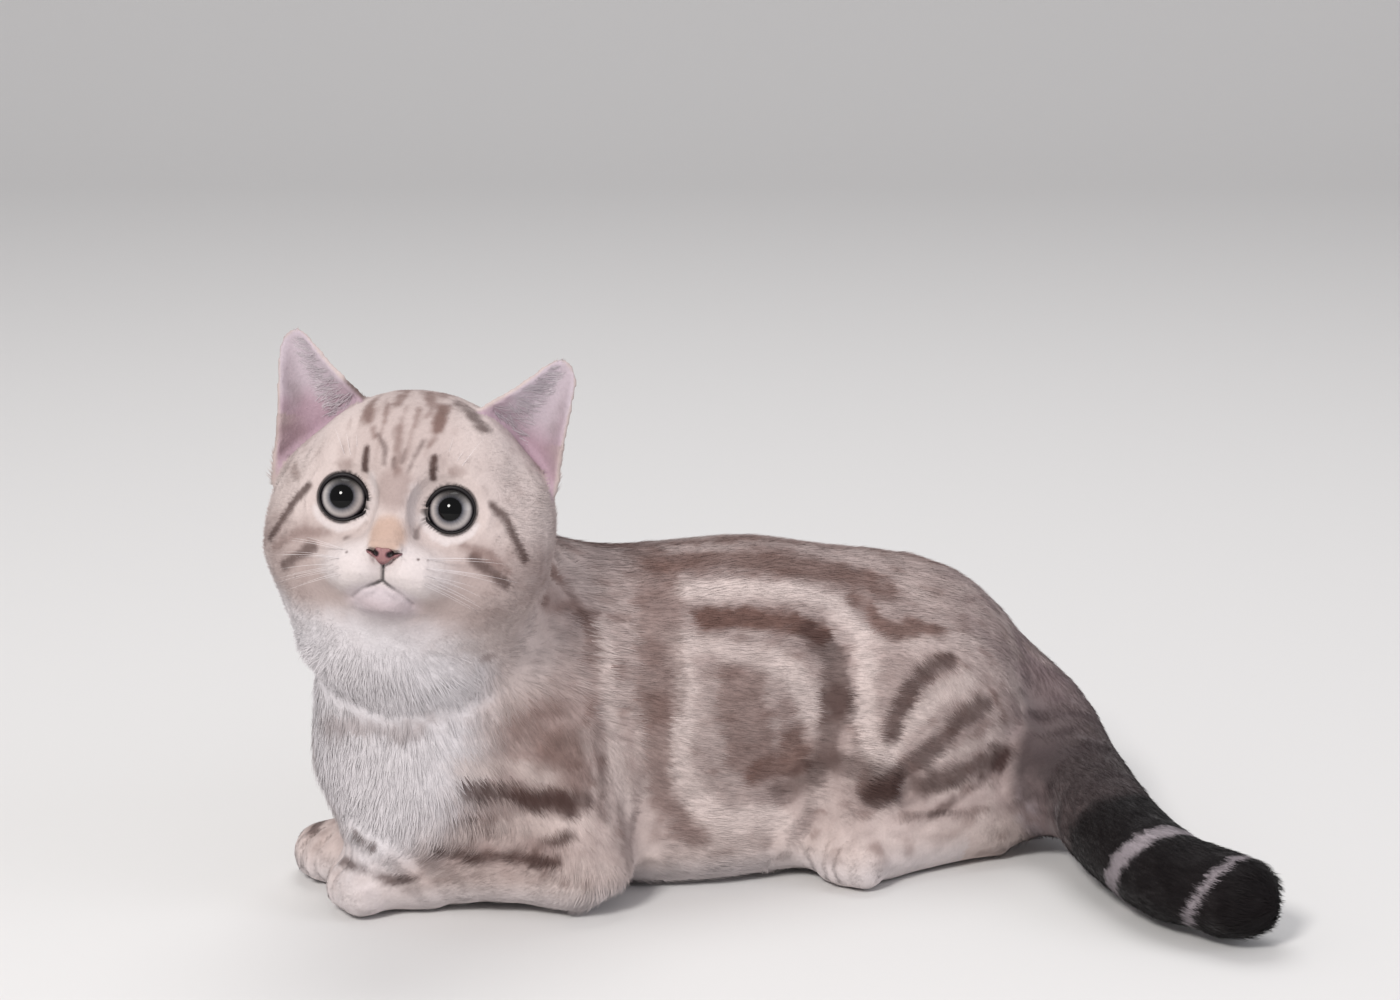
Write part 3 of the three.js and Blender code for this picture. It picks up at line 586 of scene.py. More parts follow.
# Marks on the head, in the head's frame. Each is a colour, its strength, half its width, the
# softness of its edge and its points, in millimetres.
HEAD_MARKS = (
    ("deep", 0.95, 0.8, 0.9, ((-10.3, -9, 14.6), (-9.8, -9, 8.8))),
    ("deep", 0.95, 0.8, 0.9, ((9.3, -9, 14.4), (9.8, -9, 8.4))),
    ("deep", 0.6, 0.45, 0.9, ((-7.6, -7, 19), (-4.6, -10, 15.5), (-4.1, -12, 11))),
    ("deep", 0.6, 0.45, 0.9, ((5.6, -8, 18.5), (3.9, -12, 13.5), (3.2, -13, 9.6))),
    ("dark", 0.55, 0.7, 1.6, ((-2.0, -6, 24), (-0.4, -11, 14), (-0.2, -14, 9))),
    ("dark", 0.85, 1.2, 1.6, ((-13, 6, 29.5), (-11.8, -2, 23))),
    ("dark", 0.9, 1.4, 1.6, ((8.6, 3, 29), (8.7, -5, 22.6))),
    ("dark", 0.75, 1.0, 1.6, ((2.2, 13, 33), (5, 3, 29.8))),
    ("dark", 0.7, 0.9, 1.6, ((-4, 12, 33), (-5, 2, 28.5))),
    ("dark", 0.6, 0.5, 1.1, ((2.2, 0, 28), (2.2, -6, 22.7))),
    ("dark", 0.6, 0.5, 1.1, ((6.1, 3, 30), (5.0, -3, 26))),
    ("dark", 0.7, 0.5, 1.1, ((8.6, -7, 19.8), (7.6, -8, 17.6))),
    ("dark", 0.6, 0.6, 1.1, ((-9.8, -6, 20.8), (-8.6, -7, 18.6))),
    ("dark", 0.6, 0.5, 1.1, ((-7.4, 2, 28), (-6.6, -4, 23))),
    ("deep", 0.5, 0.4, 0.9, ((-1.5, -12, 12.8), (-1.2, -13, 10.4))),
    ("deep", 0.45, 0.35, 0.9, ((1.2, -11, 16), (1.0, -12, 12))),
    ("dark", 0.45, 0.9, 1.6, ((14.6, -7, 10.8), (16.8, -6, 11.2))),
    ("dark", 0.4, 0.9, 1.6, ((-17.4, -6, 9.2), (-15.2, -7, 9.6))),
    ("dark", 0.6, 1.2, 2.0, ((-35, 4, 8.6), (-31.5, 0, 5))),
    ("deep", 0.6, 0.9, 1.6, ((38, 6, 7.5), (41.5, 10, 6))),
    ("deep", 0.85, 1.4, 2.0, ((-22, 16, 32), (-17.4, 14, 30))),
    ("deep", 0.8, 1.4, 2.0, ((11.5, 10, 31.4), (15.3, 8, 29.6), (20.5, 4, 25))),
    ("deep", 0.85, 0.9, 1.1, ((26.4, -4, 3.2), (31.1, -2, -0.6), (34, -2, -6), (37, 0, -11))),
    ("deep", 0.85, 0.9, 1.1, ((-26.4, -4, 2.2), (-30.4, -2, -3.1), (-33.4, -2, -9.2), (-36, 2, -14))),
    ("deep", 0.8, 1.2, 1.4, ((23.6, -8, -12.4), (28.6, -7, -15.7), (33, -4, -18.6))),
    ("deep", 0.75, 1.2, 1.4, ((-22.4, -8, -14.6), (-26.7, -6, -17.8), (-31, -3, -21.5))),
    ("dark", 0.6, 0.8, 1.6, ((20, -8, -9), (27, -6, -11), (33, -3, -15))),
    ("dark", 0.5, 1.0, 1.8, ((-19, -9, -10), (-27, -5, -11), (-34, 0, -16))),
    ("bright", 0.6, 0.8, 1.8, ((-7.2, -9, 6.6), (-6.6, -10, 2), (-7.2, -9, -3))),
    ("bright", 0.6, 0.8, 1.8, ((5.4, -10, 5.4), (5.0, -11, 1), (5.6, -10, -3.6))),
    ("bright", 0.95, 1.0, 1.1, ((7.8, -7, -2.8), (9.7, -7, -5.8), (12.7, -7, -7.9), (15.5, -7, -8.4))),
    ("bright", 0.9, 0.9, 1.1, ((15.5, -7, -8.4), (18.3, -6, -7.9), (21.3, -5, -6), (22.9, -4, -3.5))),
    ("bright", 0.9, 0.9, 1.1, ((-8.2, -7, -4), (-10.2, -7, -6.4), (-12.7, -7, -7.9), (-15.5, -7, -8.4))),
    ("bright", 0.9, 0.8, 1.1, ((-15.5, -7, -8.4), (-18.3, -6, -7.9), (-21.3, -5, -6), (-22.9, -4, -3.5))),
    ("deep", 0.6, 0.5, 0.9, ((-8.1, -9, -6), (-9.3, -9, -7.2), (-10.2, -10, -9), (-13.1, -9.4, -10.9))),
    ("deep", 0.6, 0.5, 0.9, ((8.0, -9, -4.6), (7.0, -9, -6.5), (7.2, -10, -8.4))),
    ("deep", 0.9, 0.3, 0.35, ((9.6, -18, -14.3), (9.7, -18, -14.3))),
    ("deep", 0.9, 0.3, 0.35, ((12.2, -17, -14.2), (12.3, -17, -14.2))),
    ("deep", 0.7, 0.25, 0.35, ((10.9, -18, -16.9), (11, -18, -16.9))),
    ("deep", 0.7, 0.25, 0.35, ((-10.6, -18, -14.6), (-10.7, -18, -14.6))),
    ("deep", 0.7, 0.25, 0.35, ((-12.6, -17, -17), (-12.7, -17, -17))),
    ("dark", 0.7, 1.6, 3.0, ((-5, 14, 34), (-6, 27, 34), (-7, 42, 26), (-8, 52, 12))),
    ("dark", 0.7, 1.6, 3.0, ((6, 14, 34), (7, 27, 34), (8, 42, 26), (9, 52, 12))),
    ("dark", 0.6, 1.5, 3.0, ((0.5, 20, 35), (0.5, 34, 32), (0.5, 52, 16))),
    ("dark", 0.6, 2.0, 3.5, ((-24, 34, 18), (-22, 48, 4), (-14, 56, -8))),
    ("dark", 0.6, 2.0, 3.5, ((25, 34, 18), (23, 48, 4), (15, 56, -8))),
)
# Depth counts for less than height and width in how far a place is from a mark on the head.
HEAD_FLATNESS = (1, 0.4, 1)
# Marks on the left of the body, in the part's frame; the right side has the same, mirrored.
BODY_MARKS = (
    ("dark", 0.8, 1.8, 2.2, ((-56, 18, 105), (-49, 12, 100), (-43, 8, 88), (-43, 2, 73), (-47, -2, 60))),
    ("deep", 0.6, 1.6, 2.2, ((-44, -1, 58), (-44, -3, 44), (-44, -5, 32))),
    ("dark", 0.6, 6.0, 5.0, ((-58, -4, 54), (-53, -5, 46))),
    ("dark", 0.55, 6.5, 4.0, ((-14, 36, 100), (-15, 21, 94), (-20, 11, 85), (-22, 4, 71), (-24, 2, 62))),
    ("dark", 0.6, 3.8, 2.6, ((-24, 1, 62), (-24, 1, 50), (-23, 2, 38), (-20, 3, 27), (-12, 2, 18))),
    ("dark", 0.6, 7.5, 4.0, ((3, 2, 62), (4, 1, 53), (6, 1, 44))),
    ("dark", 0.85, 4.0, 3.0, ((20, 1, 46), (24, 0, 42), (17, 1, 37), (10, 1, 36))),
    ("dark", 1.0, 3.9, 2.4, ((-3, 12, 84), (5, 12, 84), (15, 11, 82), (25, 10, 80), (34, 9, 77))),
    ("deep", 0.72, 4.8, 2.6, ((30, 8, 77), (36, 5, 70), (36, 3, 62), (35, 1, 56))),
    ("deep", 0.72, 4.2, 2.6, ((35, 1, 56), (33, 0, 49), (30, -1, 41), (25, -1, 35), (18, 1, 30))),
    ("deep", 0.62, 3.8, 2.8, ((31, -3, 40), (40, -8, 35), (50, -9, 31))),
    (
        "dark",
        0.8,
        5.4,
        4.0,
        ((-12, 31, 100), (11, 31, 99), (23, 29, 97), (38, 27, 94), (51, 27, 91), (60, 23, 87)),
    ),
    ("dark", 0.9, 3.2, 2.6, ((50, 18, 84), (54, 13, 79), (58, 9, 75), (66, 11, 75), (73, 10, 74))),
    (
        "deep",
        0.8,
        3.0,
        2.0,
        ((74, 1, 66), (68, 0, 66), (62, -2, 63), (57, -3, 58), (53, -5, 52), (51, -6, 46)),
    ),
    (
        "deep",
        0.75,
        3.4,
        2.2,
        ((84, -4, 52), (75, -6, 48), (69, -7, 43), (63, -7, 39), (53, -7, 33), (44, -9, 28)),
    ),
    (
        "dark",
        0.85,
        1.1,
        1.4,
        ((77, 2, 66), (84, 0, 59), (88, 0, 55), (91, -1, 49), (93, -1, 43), (95, -2, 37)),
    ),
    (
        "deep",
        0.75,
        3.2,
        2.6,
        ((40, -9, 30), (50, -9, 28), (60, -7, 28), (70, -8, 30), (81, -6, 32), (91, -3, 34)),
    ),
    ("deep", 0.95, 2.2, 2.4, ((90, -3, 30), (92, -3, 34))),
    ("deep", 0.7, 1.0, 1.4, ((62, -10, 20), (76, -7, 25), (88, -4, 30))),
    ("dark", 0.8, 3.8, 4.0, ((-60, 47, 108), (-20, 47, 103), (40, 47, 101), (80, 47, 93), (105, 47, 76))),
    ("deep", 0.85, 2.8, 2.6, ((-84, 0, 42), (-76, -1, 41), (-64, -3, 39), (-50, -6, 37))),
    ("deep", 0.8, 3.6, 3.0, ((-70, -2, 38.5), (-56, -5, 36.5))),
    ("deep", 0.85, 1.0, 1.4, ((-91, 4, 31), (-84, 3, 32.5), (-76, 2, 33))),
    ("deep", 0.85, 1.3, 1.5, ((-74, 4, 21), (-65, -1, 24), (-55, -7, 28))),
    ("deep", 0.9, 1.6, 1.5, ((-92, 9, 22), (-81, 7, 20), (-70, 3, 20), (-60, -5, 19))),
    ("deep", 0.8, 1.2, 1.3, ((-115, 30, 28), (-112, 26, 26), (-109, 20, 23))),
    ("deep", 0.8, 1.3, 1.4, ((-115, 33, 17), (-110, 24, 15), (-103, 17, 13), (-95, 12, 14))),
    ("dark", 0.42, 2.4, 3.6, ((-121, 40, 56), (-117, 19, 61), (-111, 9, 62), (-105, 4, 61), (-95, -4, 66))),
    ("dark", 0.5, 0.8, 1.4, ((-84, -11, 86), (-74, -10, 83), (-62, -5, 80))),
    ("dark", 0.55, 1.6, 2.4, ((40, -15, 12), (42, -17, 20))),
    ("dark", 0.55, 1.6, 2.4, ((54, -15, 10), (57, -16, 20))),
    ("dark", 0.55, 1.6, 2.4, ((68, -13, 9), (72, -14, 20))),
)
# Pale arches between the marks.
BODY_LIGHTS = (
    ("pale", 0.35, 6.0, 5.0, ((-44, 22, 104), (-36, 14, 98))),
    ("pale", 0.75, 2.6, 2.6, ((-39, 8, 86), (-40, 3, 73), (-39, 0, 58), (-37, -1, 42), (-33, 2, 30))),
    (
        "pale",
        0.95,
        3.6,
        2.6,
        ((-14, 8, 78), (-15, 5, 73), (-15, 2, 63), (-17, 1, 47), (-16, 2, 39), (-9, 2, 27)),
    ),
    ("pale", 0.95, 3.6, 3.0, ((-9, 2, 27), (-3, 1, 22), (7, 1, 22), (16, 1, 20))),
    ("pale", 0.75, 3.0, 2.4, ((-12, 8, 78), (-4, 8, 77), (4, 6, 74), (15, 5, 71), (22, 3, 65))),
    ("pale", 0.9, 3.0, 2.4, ((18, 4, 70), (24, 3, 63), (26, 2, 58), (26, 1, 53))),
    (
        "pale",
        0.95,
        3.3,
        2.4,
        ((-7, 20, 92), (2, 19, 91), (10, 20, 91), (22, 18, 90), (35, 17, 87), (42, 15, 83)),
    ),
    (
        "pale",
        0.95,
        3.0,
        2.4,
        ((42, 15, 83), (47, 10, 76), (46, 3, 67), (43, -1, 57), (42, -4, 47), (45, -8, 39)),
    ),
    ("pale", 0.9, 2.8, 2.2, ((45, -9, 34), (52, -7, 43), (62, -5, 53), (71, -4, 58), (80, -1, 59))),
    ("pale", 0.8, 1.5, 1.8, ((58, -8, 35), (66, -7, 37), (73, -7, 38), (88, -4, 41))),
    ("pale", 0.6, 1.0, 1.6, ((64, -8, 25), (76, -7, 28.5), (86, -5, 31.5))),
    ("pale", 0.6, 3.0, 4.0, ((-84, 3, 27), (-66, -1, 30), (-52, -6, 32))),
    ("pale", 0.6, 2.5, 3.0, ((-90, -1, 49), (-74, -2, 49), (-58, -4, 45))),
)


def painted(colour, mark, amount):
    """Colours drawn towards a mark's colour by an amount at each point."""
    return colour + (np.asarray(mark, float) - colour) * np.clip(amount, 0, 1)[:, None]


def reach_of(places, centre, radii):
    """How far each place is from a centre, as a share of three radii."""
    return np.linalg.norm((places - centre) / radii, axis=1)


def with_patch(colour, places, mark, strength, centre, radii, edge, ragged=0):
    """Paints a soft round patch, whose edge fades out between two shares of its radii."""
    reach = reach_of(places, centre, radii) + ragged
    return painted(colour, mark, strength * (1 - eased(*edge, reach)))


def with_marks(colour, places, marks, tones, ragged, stretch=(1, 1, 1)):
    """Paints a list of line marks, with ragged added to each point's distance from them."""
    places = places * stretch
    for key, strength, half_width, softness, line in marks:
        line = np.array(line, float) * stretch
        reach = half_width + softness + 3
        low, high = line.min(0) - reach - 6, line.max(0) + reach + 6
        near = np.flatnonzero(((places > low) & (places < high)).all(1))
        if len(near) == 0:
            continue
        distance = line_distance(places[near], line)[0] + ragged[near] * softness
        amount = strength * (1 - eased(half_width - 0.4 * softness, half_width + softness, distance))
        colour[near] = painted(colour[near], getattr(tones, key), amount)
    return colour


def body_colour(places, tones):
    """The coat's colour on the body, at places in millimetres."""
    x, y, z = places.T
    left = places.copy()
    left[:, 1] = np.where(y > MIDLINE, 2 * MIDLINE - y, y)
    # The marks on the right wander a little from the left side's mirror image.
    left += np.where(y > MIDLINE, 1, 0)[:, None] * (3 * cloud(places, 24, 2))[:, None]
    ragged = 0.45 * cloud(places, 2.2, 3) + 0.4 * cloud(places, 6, 4)
    colour = np.tile(np.asarray(tones.ticked, float), (len(places), 1))
    pale = 0.22 + 0.3 * cloud(places, 9, 5) + 0.2 * cloud(places, 2.5, 6)
    colour = painted(colour, tones.pale, pale * (1 - 0.6 * eased(70, 100, z)))
    colour = painted(colour, tones.pale, 0.7 * (1 - eased(10, 22, z + 5 * ragged)))
    mottle = eased(0.0, 0.8, cloud(places * (0.6, 1, 1.3), 5, 7)) * eased(80, 96, z + 4 * ragged)
    colour = painted(colour, tones.dark, 0.55 * mottle)
    flecks = eased(0.1, 0.8, cloud(places * (0.55, 1, 1), 3.2, 14))
    colour = painted(colour, tones.dark, 0.4 * flecks)
    # Pale sides of the neck, then darker hair on the upper arms and the forearms.
    rough, fine = 0.15 * ragged, 0.1 * ragged
    colour = with_patch(colour, left, tones.light, 0.8, (-78, -8, 84), (30, 24, 22), (0.6, 1.15), rough)
    colour = with_patch(colour, left, tones.dark, 0.4, (-62, -2, 58), (17, 20, 15), (0.5, 1.2), rough)
    colour = with_patch(colour, left, tones.dark, 0.25, (-76, 4, 22), (24, 18, 16), (0.6, 1.2), rough)
    # The chest is white down to the paws, and the belly pale.
    colour = with_patch(colour, places, tones.white, 0.95, (-122, 12, 64), (40, 44, 50), (0.8, 1.3), fine)
    colour = with_patch(colour, left, tones.white, 0.6, (-100, -14, 76), (26, 20, 14), (0.6, 1.2), fine)
    colour = painted(colour, tones.white, 0.5 * (1 - eased(4, 14, z)) * (x < 75))
    colour = with_marks(colour, left, BODY_LIGHTS, tones, ragged)
    colour = with_marks(colour, left, BODY_MARKS, tones, ragged)
    rump = eased(76, 116, x + 7 * ragged)
    spots = 0.25 + 0.6 * eased(-0.4, 0.6, cloud(places * (0.5, 1, 0.6), 4, 8))
    colour = painted(colour, tones.smoke_and_shade, rump * spots)
    return colour * (1 + 0.1 * cloud(places * (0.6, 1, 1), 2.0, 10))[:, None]


def tail_colour(colour, places, tones):
    """Adds the tail's bands, rings and black tip to the body's colours, at places in millimetres."""
    distance, along = line_distance(places, TAIL_LINE)
    on_tail = (distance < 26) & (places[:, 0] > 84) & (along > 8)
    place = places[on_tail]
    tail = colour[on_tail]
    ragged = 0.5 * cloud(place, 1.6, 5) + 0.5 * cloud(place, 4, 6)
    # The bands lean back over the tail's top.
    band = along[on_tail] - 0.5 * (place[:, 2] - 14) + 2.2 * ragged
    height = place[:, 2]
    # The tail's back darkens towards the bands, and its lower side is smoky with paler streaks.
    side = eased(0.1, 0.8, (height - 8) / 28 + 0.3 * ragged)
    tail = painted(tail, tones.smoke_and_shade, 0.75 * eased(10, 40, along[on_tail]))
    streaks = eased(-0.2, 0.7, cloud(place * (1, 0.35, 1), 3, 9)) * eased(12, 34, along[on_tail])
    tail = painted(tail, tones.ring, 0.55 * (1 - side) * streaks)
    tail = painted(tail, tones.black, 0.6 * eased(16, 70, along[on_tail]) * side)
    tail = painted(tail, tones.black, 0.5 * eased(62, 104, along[on_tail] + 10 * side))
    tail = painted(tail, tones.black, 0.95 * eased(100, 112, band))
    ring = 1 - eased(2.2, 4.6, abs(band - 136.5))
    tail = painted(tail, tones.ring, 0.92 * ring)
    thin = 1 - eased(0.8, 2.2, abs(band - 165.5))
    tail = painted(tail, tones.ring, 0.8 * thin)
    fade = 1 - eased(20, 26, distance[on_tail])
    colour[on_tail] = colour[on_tail] * (1 - fade)[:, None] + tail * fade[:, None]
    return colour


def head_colour(places, tones):
    """The coat's colour on the head, at places in the head's frame, in millimetres."""
    x, y, z = places.T
    ragged = 0.5 * cloud(places, 1.4, 11) + 0.3 * cloud(places, 4, 12)
    colour = np.tile(np.asarray(tones.light, float), (len(places), 1))
    # Cheeks, crown and nape are ticked like the back, and the sides of the forehead pale.
    cheeks = eased(9, 24, np.hypot(abs(x) * 0.9, z + 8) + 2 * ragged) * eased(-2, -12, z + 2 * ragged)
    colour = painted(colour, tones.ticked, 0.75 * cheeks)
    crown = (1 - eased(8, 19, abs(x) + 2 * ragged)) * eased(4, 16, z + 3 * ragged)
    colour = painted(colour, tones.ticked, 0.5 * crown)
    streaks = eased(-0.1, 0.7, cloud(places * (1, 0.25, 0.25), 1.7, 19))
    colour = painted(colour, tones.dark, 0.34 * streaks * (1 - eased(12, 26, abs(x))) * eased(5, 14, z))
    flecks = eased(0.0, 0.8, cloud(places * (0.5, 0.5, 1), 2.4, 20))
    colour = painted(colour, tones.dark, 0.22 * flecks * eased(17, 30, abs(x)))
    colour = painted(colour, tones.ticked, 0.7 * eased(8, 30, y))
    # A grey wedge between the brows.
    wedge = np.hypot(x, (z - 4.5) * 0.9) + np.maximum(0, y + 2)
    colour = painted(colour, tones.ticked, 0.95 * (1 - eased(4, 7.5, wedge + ragged)))
    # White lips.
    rough, fine = 0.12 * ragged, 0.1 * ragged
    colour = with_patch(colour, places, tones.bright, 0.9, (0, -16, -18.5), (20, 18, 8.5), (0.7, 1.25), rough)
    # Tan hair down the bridge to the nose.
    bridge = np.hypot(x / 1.15, (z + 9) / 1.35) + np.maximum(0, y + 8)
    colour = painted(colour, tones.tan, 0.9 * (1 - eased(3.2, 5.6, bridge + 0.5 * ragged)))
    # A greyer chin, partly its grey hair and partly painted shade under the lips, a white throat, and a
    # painted shadow under the chin, between the two.
    colour = with_patch(colour, places, tones.ear_skin, 0.55, (0, -14, -28), (12, 14, 6), (0.6, 1.2))
    colour = with_patch(colour, places, tones.white, 0.75, (0, 4, -44), (34, 34, 15), (0.6, 1.2), fine)
    colour = with_patch(colour, places, tones.smoke_and_shade, 0.32, (0, -10, -34), (15, 14, 4.5), (0.4, 1.3), fine)
    colour = with_marks(colour, places, HEAD_MARKS, tones, ragged * 0.7, HEAD_FLATNESS)
    # The hair is dark right at the lids.
    for side in SIDES.values():
        past, reach = past_the_margin(places, side)
        lids = (1 - eased(0.02, 0.09, past)) * (1 - eased(9.5, 9.9, reach))
        colour = painted(colour, tones.rim, 0.85 * lids)
    # The mouth's line: dark lip skin and painted shade in its groove.
    return painted(colour, tones.rim, 0.5 * mouth_shade(places))


# The ears: a cupped sheet between its inner and outer edges, as in the solids, with a rounder tip.
EAR_BASE = np.array((29.5, 17, 19.0))
EAR_TIP = np.array((41.2, 18, 45.6))
EAR_ACROSS = unit(np.array((23, 6, -22.0)))
EAR_WIDTH = 16.5
EAR_CUP = 12
EAR_THICKNESS = 2.0


def ear_width(rise):
    """Half an ear's width at a share of its height."""
    return EAR_WIDTH * np.sqrt(np.maximum(1 - rise, 0)) * (1 - 0.45 * rise + 0.4 * np.maximum(rise, 0) ** 4)


def ear_sheet(across, rise):
    """Places on the middle of the left ear's sheet, in the head's frame.

    They are given as shares of the ear's width and height.
    """
    place = EAR_BASE + rise[:, None] * (EAR_TIP - EAR_BASE)
    place = place + (across * ear_width(rise))[:, None] * EAR_ACROSS
    cup = EAR_CUP * np.maximum(1 - rise, 0) ** 0.8 * (1 - across**2)
    return place + cup[:, None] * (0, 1, 0)


def in_ear(local):
    """Each place's share of the nearer ear's width and height, and how far it is behind the ear's sheet."""
    beside = local.copy()
    beside[:, 0] = abs(beside[:, 0])
    axis = EAR_TIP - EAR_BASE
    frame = np.stack([EAR_ACROSS, axis, (0, 1, 0)], axis=1)
    across, rise, _ = np.linalg.solve(frame, (beside - EAR_BASE).T)
    across = across / np.maximum(ear_width(rise), 1.5)
    behind = beside[:, 1] - ear_sheet(np.clip(across, -1, 1), rise)[:, 1]
    return across, rise, behind


def ear_solid(side):
    """One ear as a closed mesh: its sheet with its thickness laid on along the normals."""
    columns, rows = 28, 40
    across = np.sin(np.linspace(-np.pi / 2, np.pi / 2, columns + 1))
    rise = 1 - np.linspace(1.1, 0.03, rows + 1) ** 2
    grid_across, grid_rise = np.tile(across, rows + 1), np.repeat(rise, columns + 1)
    middle = ear_sheet(grid_across, grid_rise)
    ahead = ear_sheet(grid_across + 0.01, grid_rise) - ear_sheet(grid_across - 0.01, grid_rise)
    up = ear_sheet(grid_across, grid_rise + 0.01) - ear_sheet(grid_across, grid_rise - 0.01)
    normal = unit(np.cross(up, ahead))
    half = EAR_THICKNESS / 2 * (1 - 0.25 * np.clip(grid_rise, 0, 1))[:, None]
    places = np.concatenate([middle - normal * half, middle + normal * half]) * (side, 1, 1)
    stride = columns + 1
    layer = stride * (rows + 1)
    faces = []
    for row in range(rows):
        for column in range(columns):
            a = row * stride + column
            corners = (a, a + 1, a + 1 + stride, a + stride)
            faces += [corners, tuple(layer + n for n in reversed(corners))]
        for a in (row * stride, row * stride + columns):
            faces.append((a, a + stride, a + stride + layer, a + layer))
    for column in range(columns):
        for a in (column, rows * stride + column):
            faces.append((a, a + 1, a + 1 + layer, a + layer))
    mesh = bpy.data.meshes.new("ear")
    mesh.from_pydata(on_head(places).tolist(), [], faces)
    shape = bmesh.new()
    shape.from_mesh(mesh)
    bpy.data.meshes.remove(mesh)
    bmesh.ops.recalc_face_normals(shape, faces=shape.faces)
    return from_bmesh(shape, "ear")


def ear_inside(local):
    """How far each place is inside the cup of an ear."""
    across, rise, behind = in_ear(local)
    return (
        (1 - eased(0.1, 0.5, behind + 0.3))
        * (behind > -4)
        * (1 - eased(0.9, 1.0, abs(across)))
        * eased(-0.18, -0.05, rise)
        * (1 - eased(0.95, 1.0, rise))
    )


def ear_colour(colour, local, tones):
    """Adds the inside of the ears: lilac grey above, pinker and barer below, and darker towards the outer
    edge, where shade is painted in the cup.
    """
    across, rise, _ = in_ear(local)
    inside = ear_inside(local)
    pink = 1 - eased(0.12, 0.5, rise - 0.15 * across + 0.12 * cloud(local, 5, 17))
    skin = painted(np.tile(np.asarray(tones.ear_skin, float), (len(local), 1)), tones.ear_pink, pink)
    # Painted shade in the cup of the ear, towards its outer edge.
    dusk = bell((across - 0.5) / 0.28) * eased(0.1, 0.4, rise) * (1 - eased(0.6, 0.9, rise))
    skin = painted(skin, tones.smoke_and_shade, 0.45 * dusk * (0.7 + 0.5 * cloud(local, 3, 18)))
    return colour + (skin - colour) * (0.95 * inside)[:, None]


def coat_colour(places):
    """The coat's linear colour at places in metres, the same for skin and tufts."""
    tones = colours()
    body = tail_colour(body_colour(places / MM, tones), places / MM, tones)
    local = in_head(places)
    head = ear_colour(head_colour(local, tones), local, tones)
    # The head's marks give way to the neck's behind the jaw.
    reach = reach_of(local, (1, 20, 0), (44, 42, 44))
    share = 1 - eased(0.88, 1.14, reach + 0.05 * cloud(places / MM, 5, 15))
    face = (1 - eased(0, 14, local[:, 1])) * eased(-42, -27, local[:, 2])
    share = np.maximum(share, face)
    ears = (local[:, 2] > 22) & (local[:, 1] < 45)
    share = np.where(ears, 1, share)
    return body + (head - body) * share[:, None]


# The skin

# How near the corners of a node's loose triangles and of a thin tube are joined, in metres.
JOIN = 1e-6
FINE_JOIN = 1e-7
# How far each node's surface is first swollen so that the seams close, in millimetres.
SWELL = 0.35
# How deep the skin lies under the coat's surface on each node, in millimetres.
COAT_DEPTH = {
    "head": 0.9,
    "ear": -0.35,
    "forepaw": 0.6,
    "hind_foot": 0.6,
    "forearm": 1.2,
    "upper_arm": 1.7,
    "thigh": 1.8,
    "tail": 1.8,
}
BODY_DEPTH = 2.0
# The share of the smoothing that each node takes, where it isn't all of it.
SMOOTHING = {"head": 0.5, "ear": 0.6, "forepaw": 0.5, "hind_foot": 0.5, "forearm": 0.8, "tail": 0.9}
# Beside the eyes, nose and mouth the skin is smoothed less and lies shallower.
FACE_SMOOTHING = 0.3
FACE_DEPTH = 0.45
# The head is drawn larger while the skin is remeshed, so that its mesh comes out finer.
HEAD_CENTRE = (1, 16, 2)
HEAD_REACH = 64 * MM
HEAD_GROWTH = 2.0
# The skin and the hair stay this far above the floor, in metres.
SKIN_CLEARANCE = 0.0005
HAIR_CLEARANCE = 0.0002


def enlarged(places):
    """Places with the ball round the head drawn larger, and what is beyond it moved outwards."""
    arm = places - on_head(HEAD_CENTRE)
    reach = np.linalg.norm(arm, axis=1)
    grown = np.where(reach < HEAD_REACH, reach * HEAD_GROWTH, reach + HEAD_REACH * (HEAD_GROWTH - 1))
    return on_head(HEAD_CENTRE) + arm * (grown / reach)[:, None]


def restored(places):
    """The places that enlarged moved, moved back."""
    arm = places - on_head(HEAD_CENTRE)
    grown = np.linalg.norm(arm, axis=1)
    edge = HEAD_REACH * HEAD_GROWTH
    reach = np.where(grown < edge, grown / HEAD_GROWTH, grown - edge + HEAD_REACH)
    return on_head(HEAD_CENTRE) + arm * (reach / grown)[:, None]


def of_node(table, name, other):
    """A table's value for a node, by the start of its name."""
    for start, value in table.items():
        if name.startswith(start):
            return value
    return other


def swollen_nodes():
    """One mesh of the ears, the other flesh nodes, the eyes and the nose, swollen until the seams overlap."""
    whole = bmesh.new()
    for side in SIDES.values():
        mesh = ear_solid(side)
        whole.from_mesh(mesh)
        bpy.data.meshes.remove(mesh)
    for name in (*FLESH_NODES, *EYE_NODES, "nose"):
        if name in EAR_NODES:
            continue
        part = merged(NODES[name].data, JOIN)
        part.normal_update()
        moved = [v.co + v.normal * (SWELL * MM) for v in part.verts]
        for vertex, place in zip(part.verts, moved):
            vertex.co = place
        mesh = from_bmesh(part, "swollen")
        whole.from_mesh(mesh)
        bpy.data.meshes.remove(mesh)
    return from_bmesh(whole, "swollen_nodes")


def remeshed(mesh, step):
    """The mesh made again as one closed skin of even squares."""
    carrier = in_scene("carrier", mesh)
    remesh = carrier.modifiers.new("skin", "REMESH")
    remesh.mode = "VOXEL"
    remesh.voxel_size = step
    return mesh_from(carrier)


def largest_body(shape):
    """Deletes all but the largest connected body of a bmesh."""
    unseen = set(shape.verts)
    bodies = []
    while unseen:
        found = {unseen.pop()}
        edge = list(found)
        while edge:
            vertex = edge.pop()
            for link in vertex.link_edges:
                other = link.other_vert(vertex)
                if other in unseen:
                    unseen.discard(other)
                    found.add(other)
                    edge.append(other)
        bodies.append(found)
    bodies.sort(key=len)
    strays = [v for body in bodies[:-1] for v in body]
    bmesh.ops.delete(shape, geom=strays, context="VERTS")


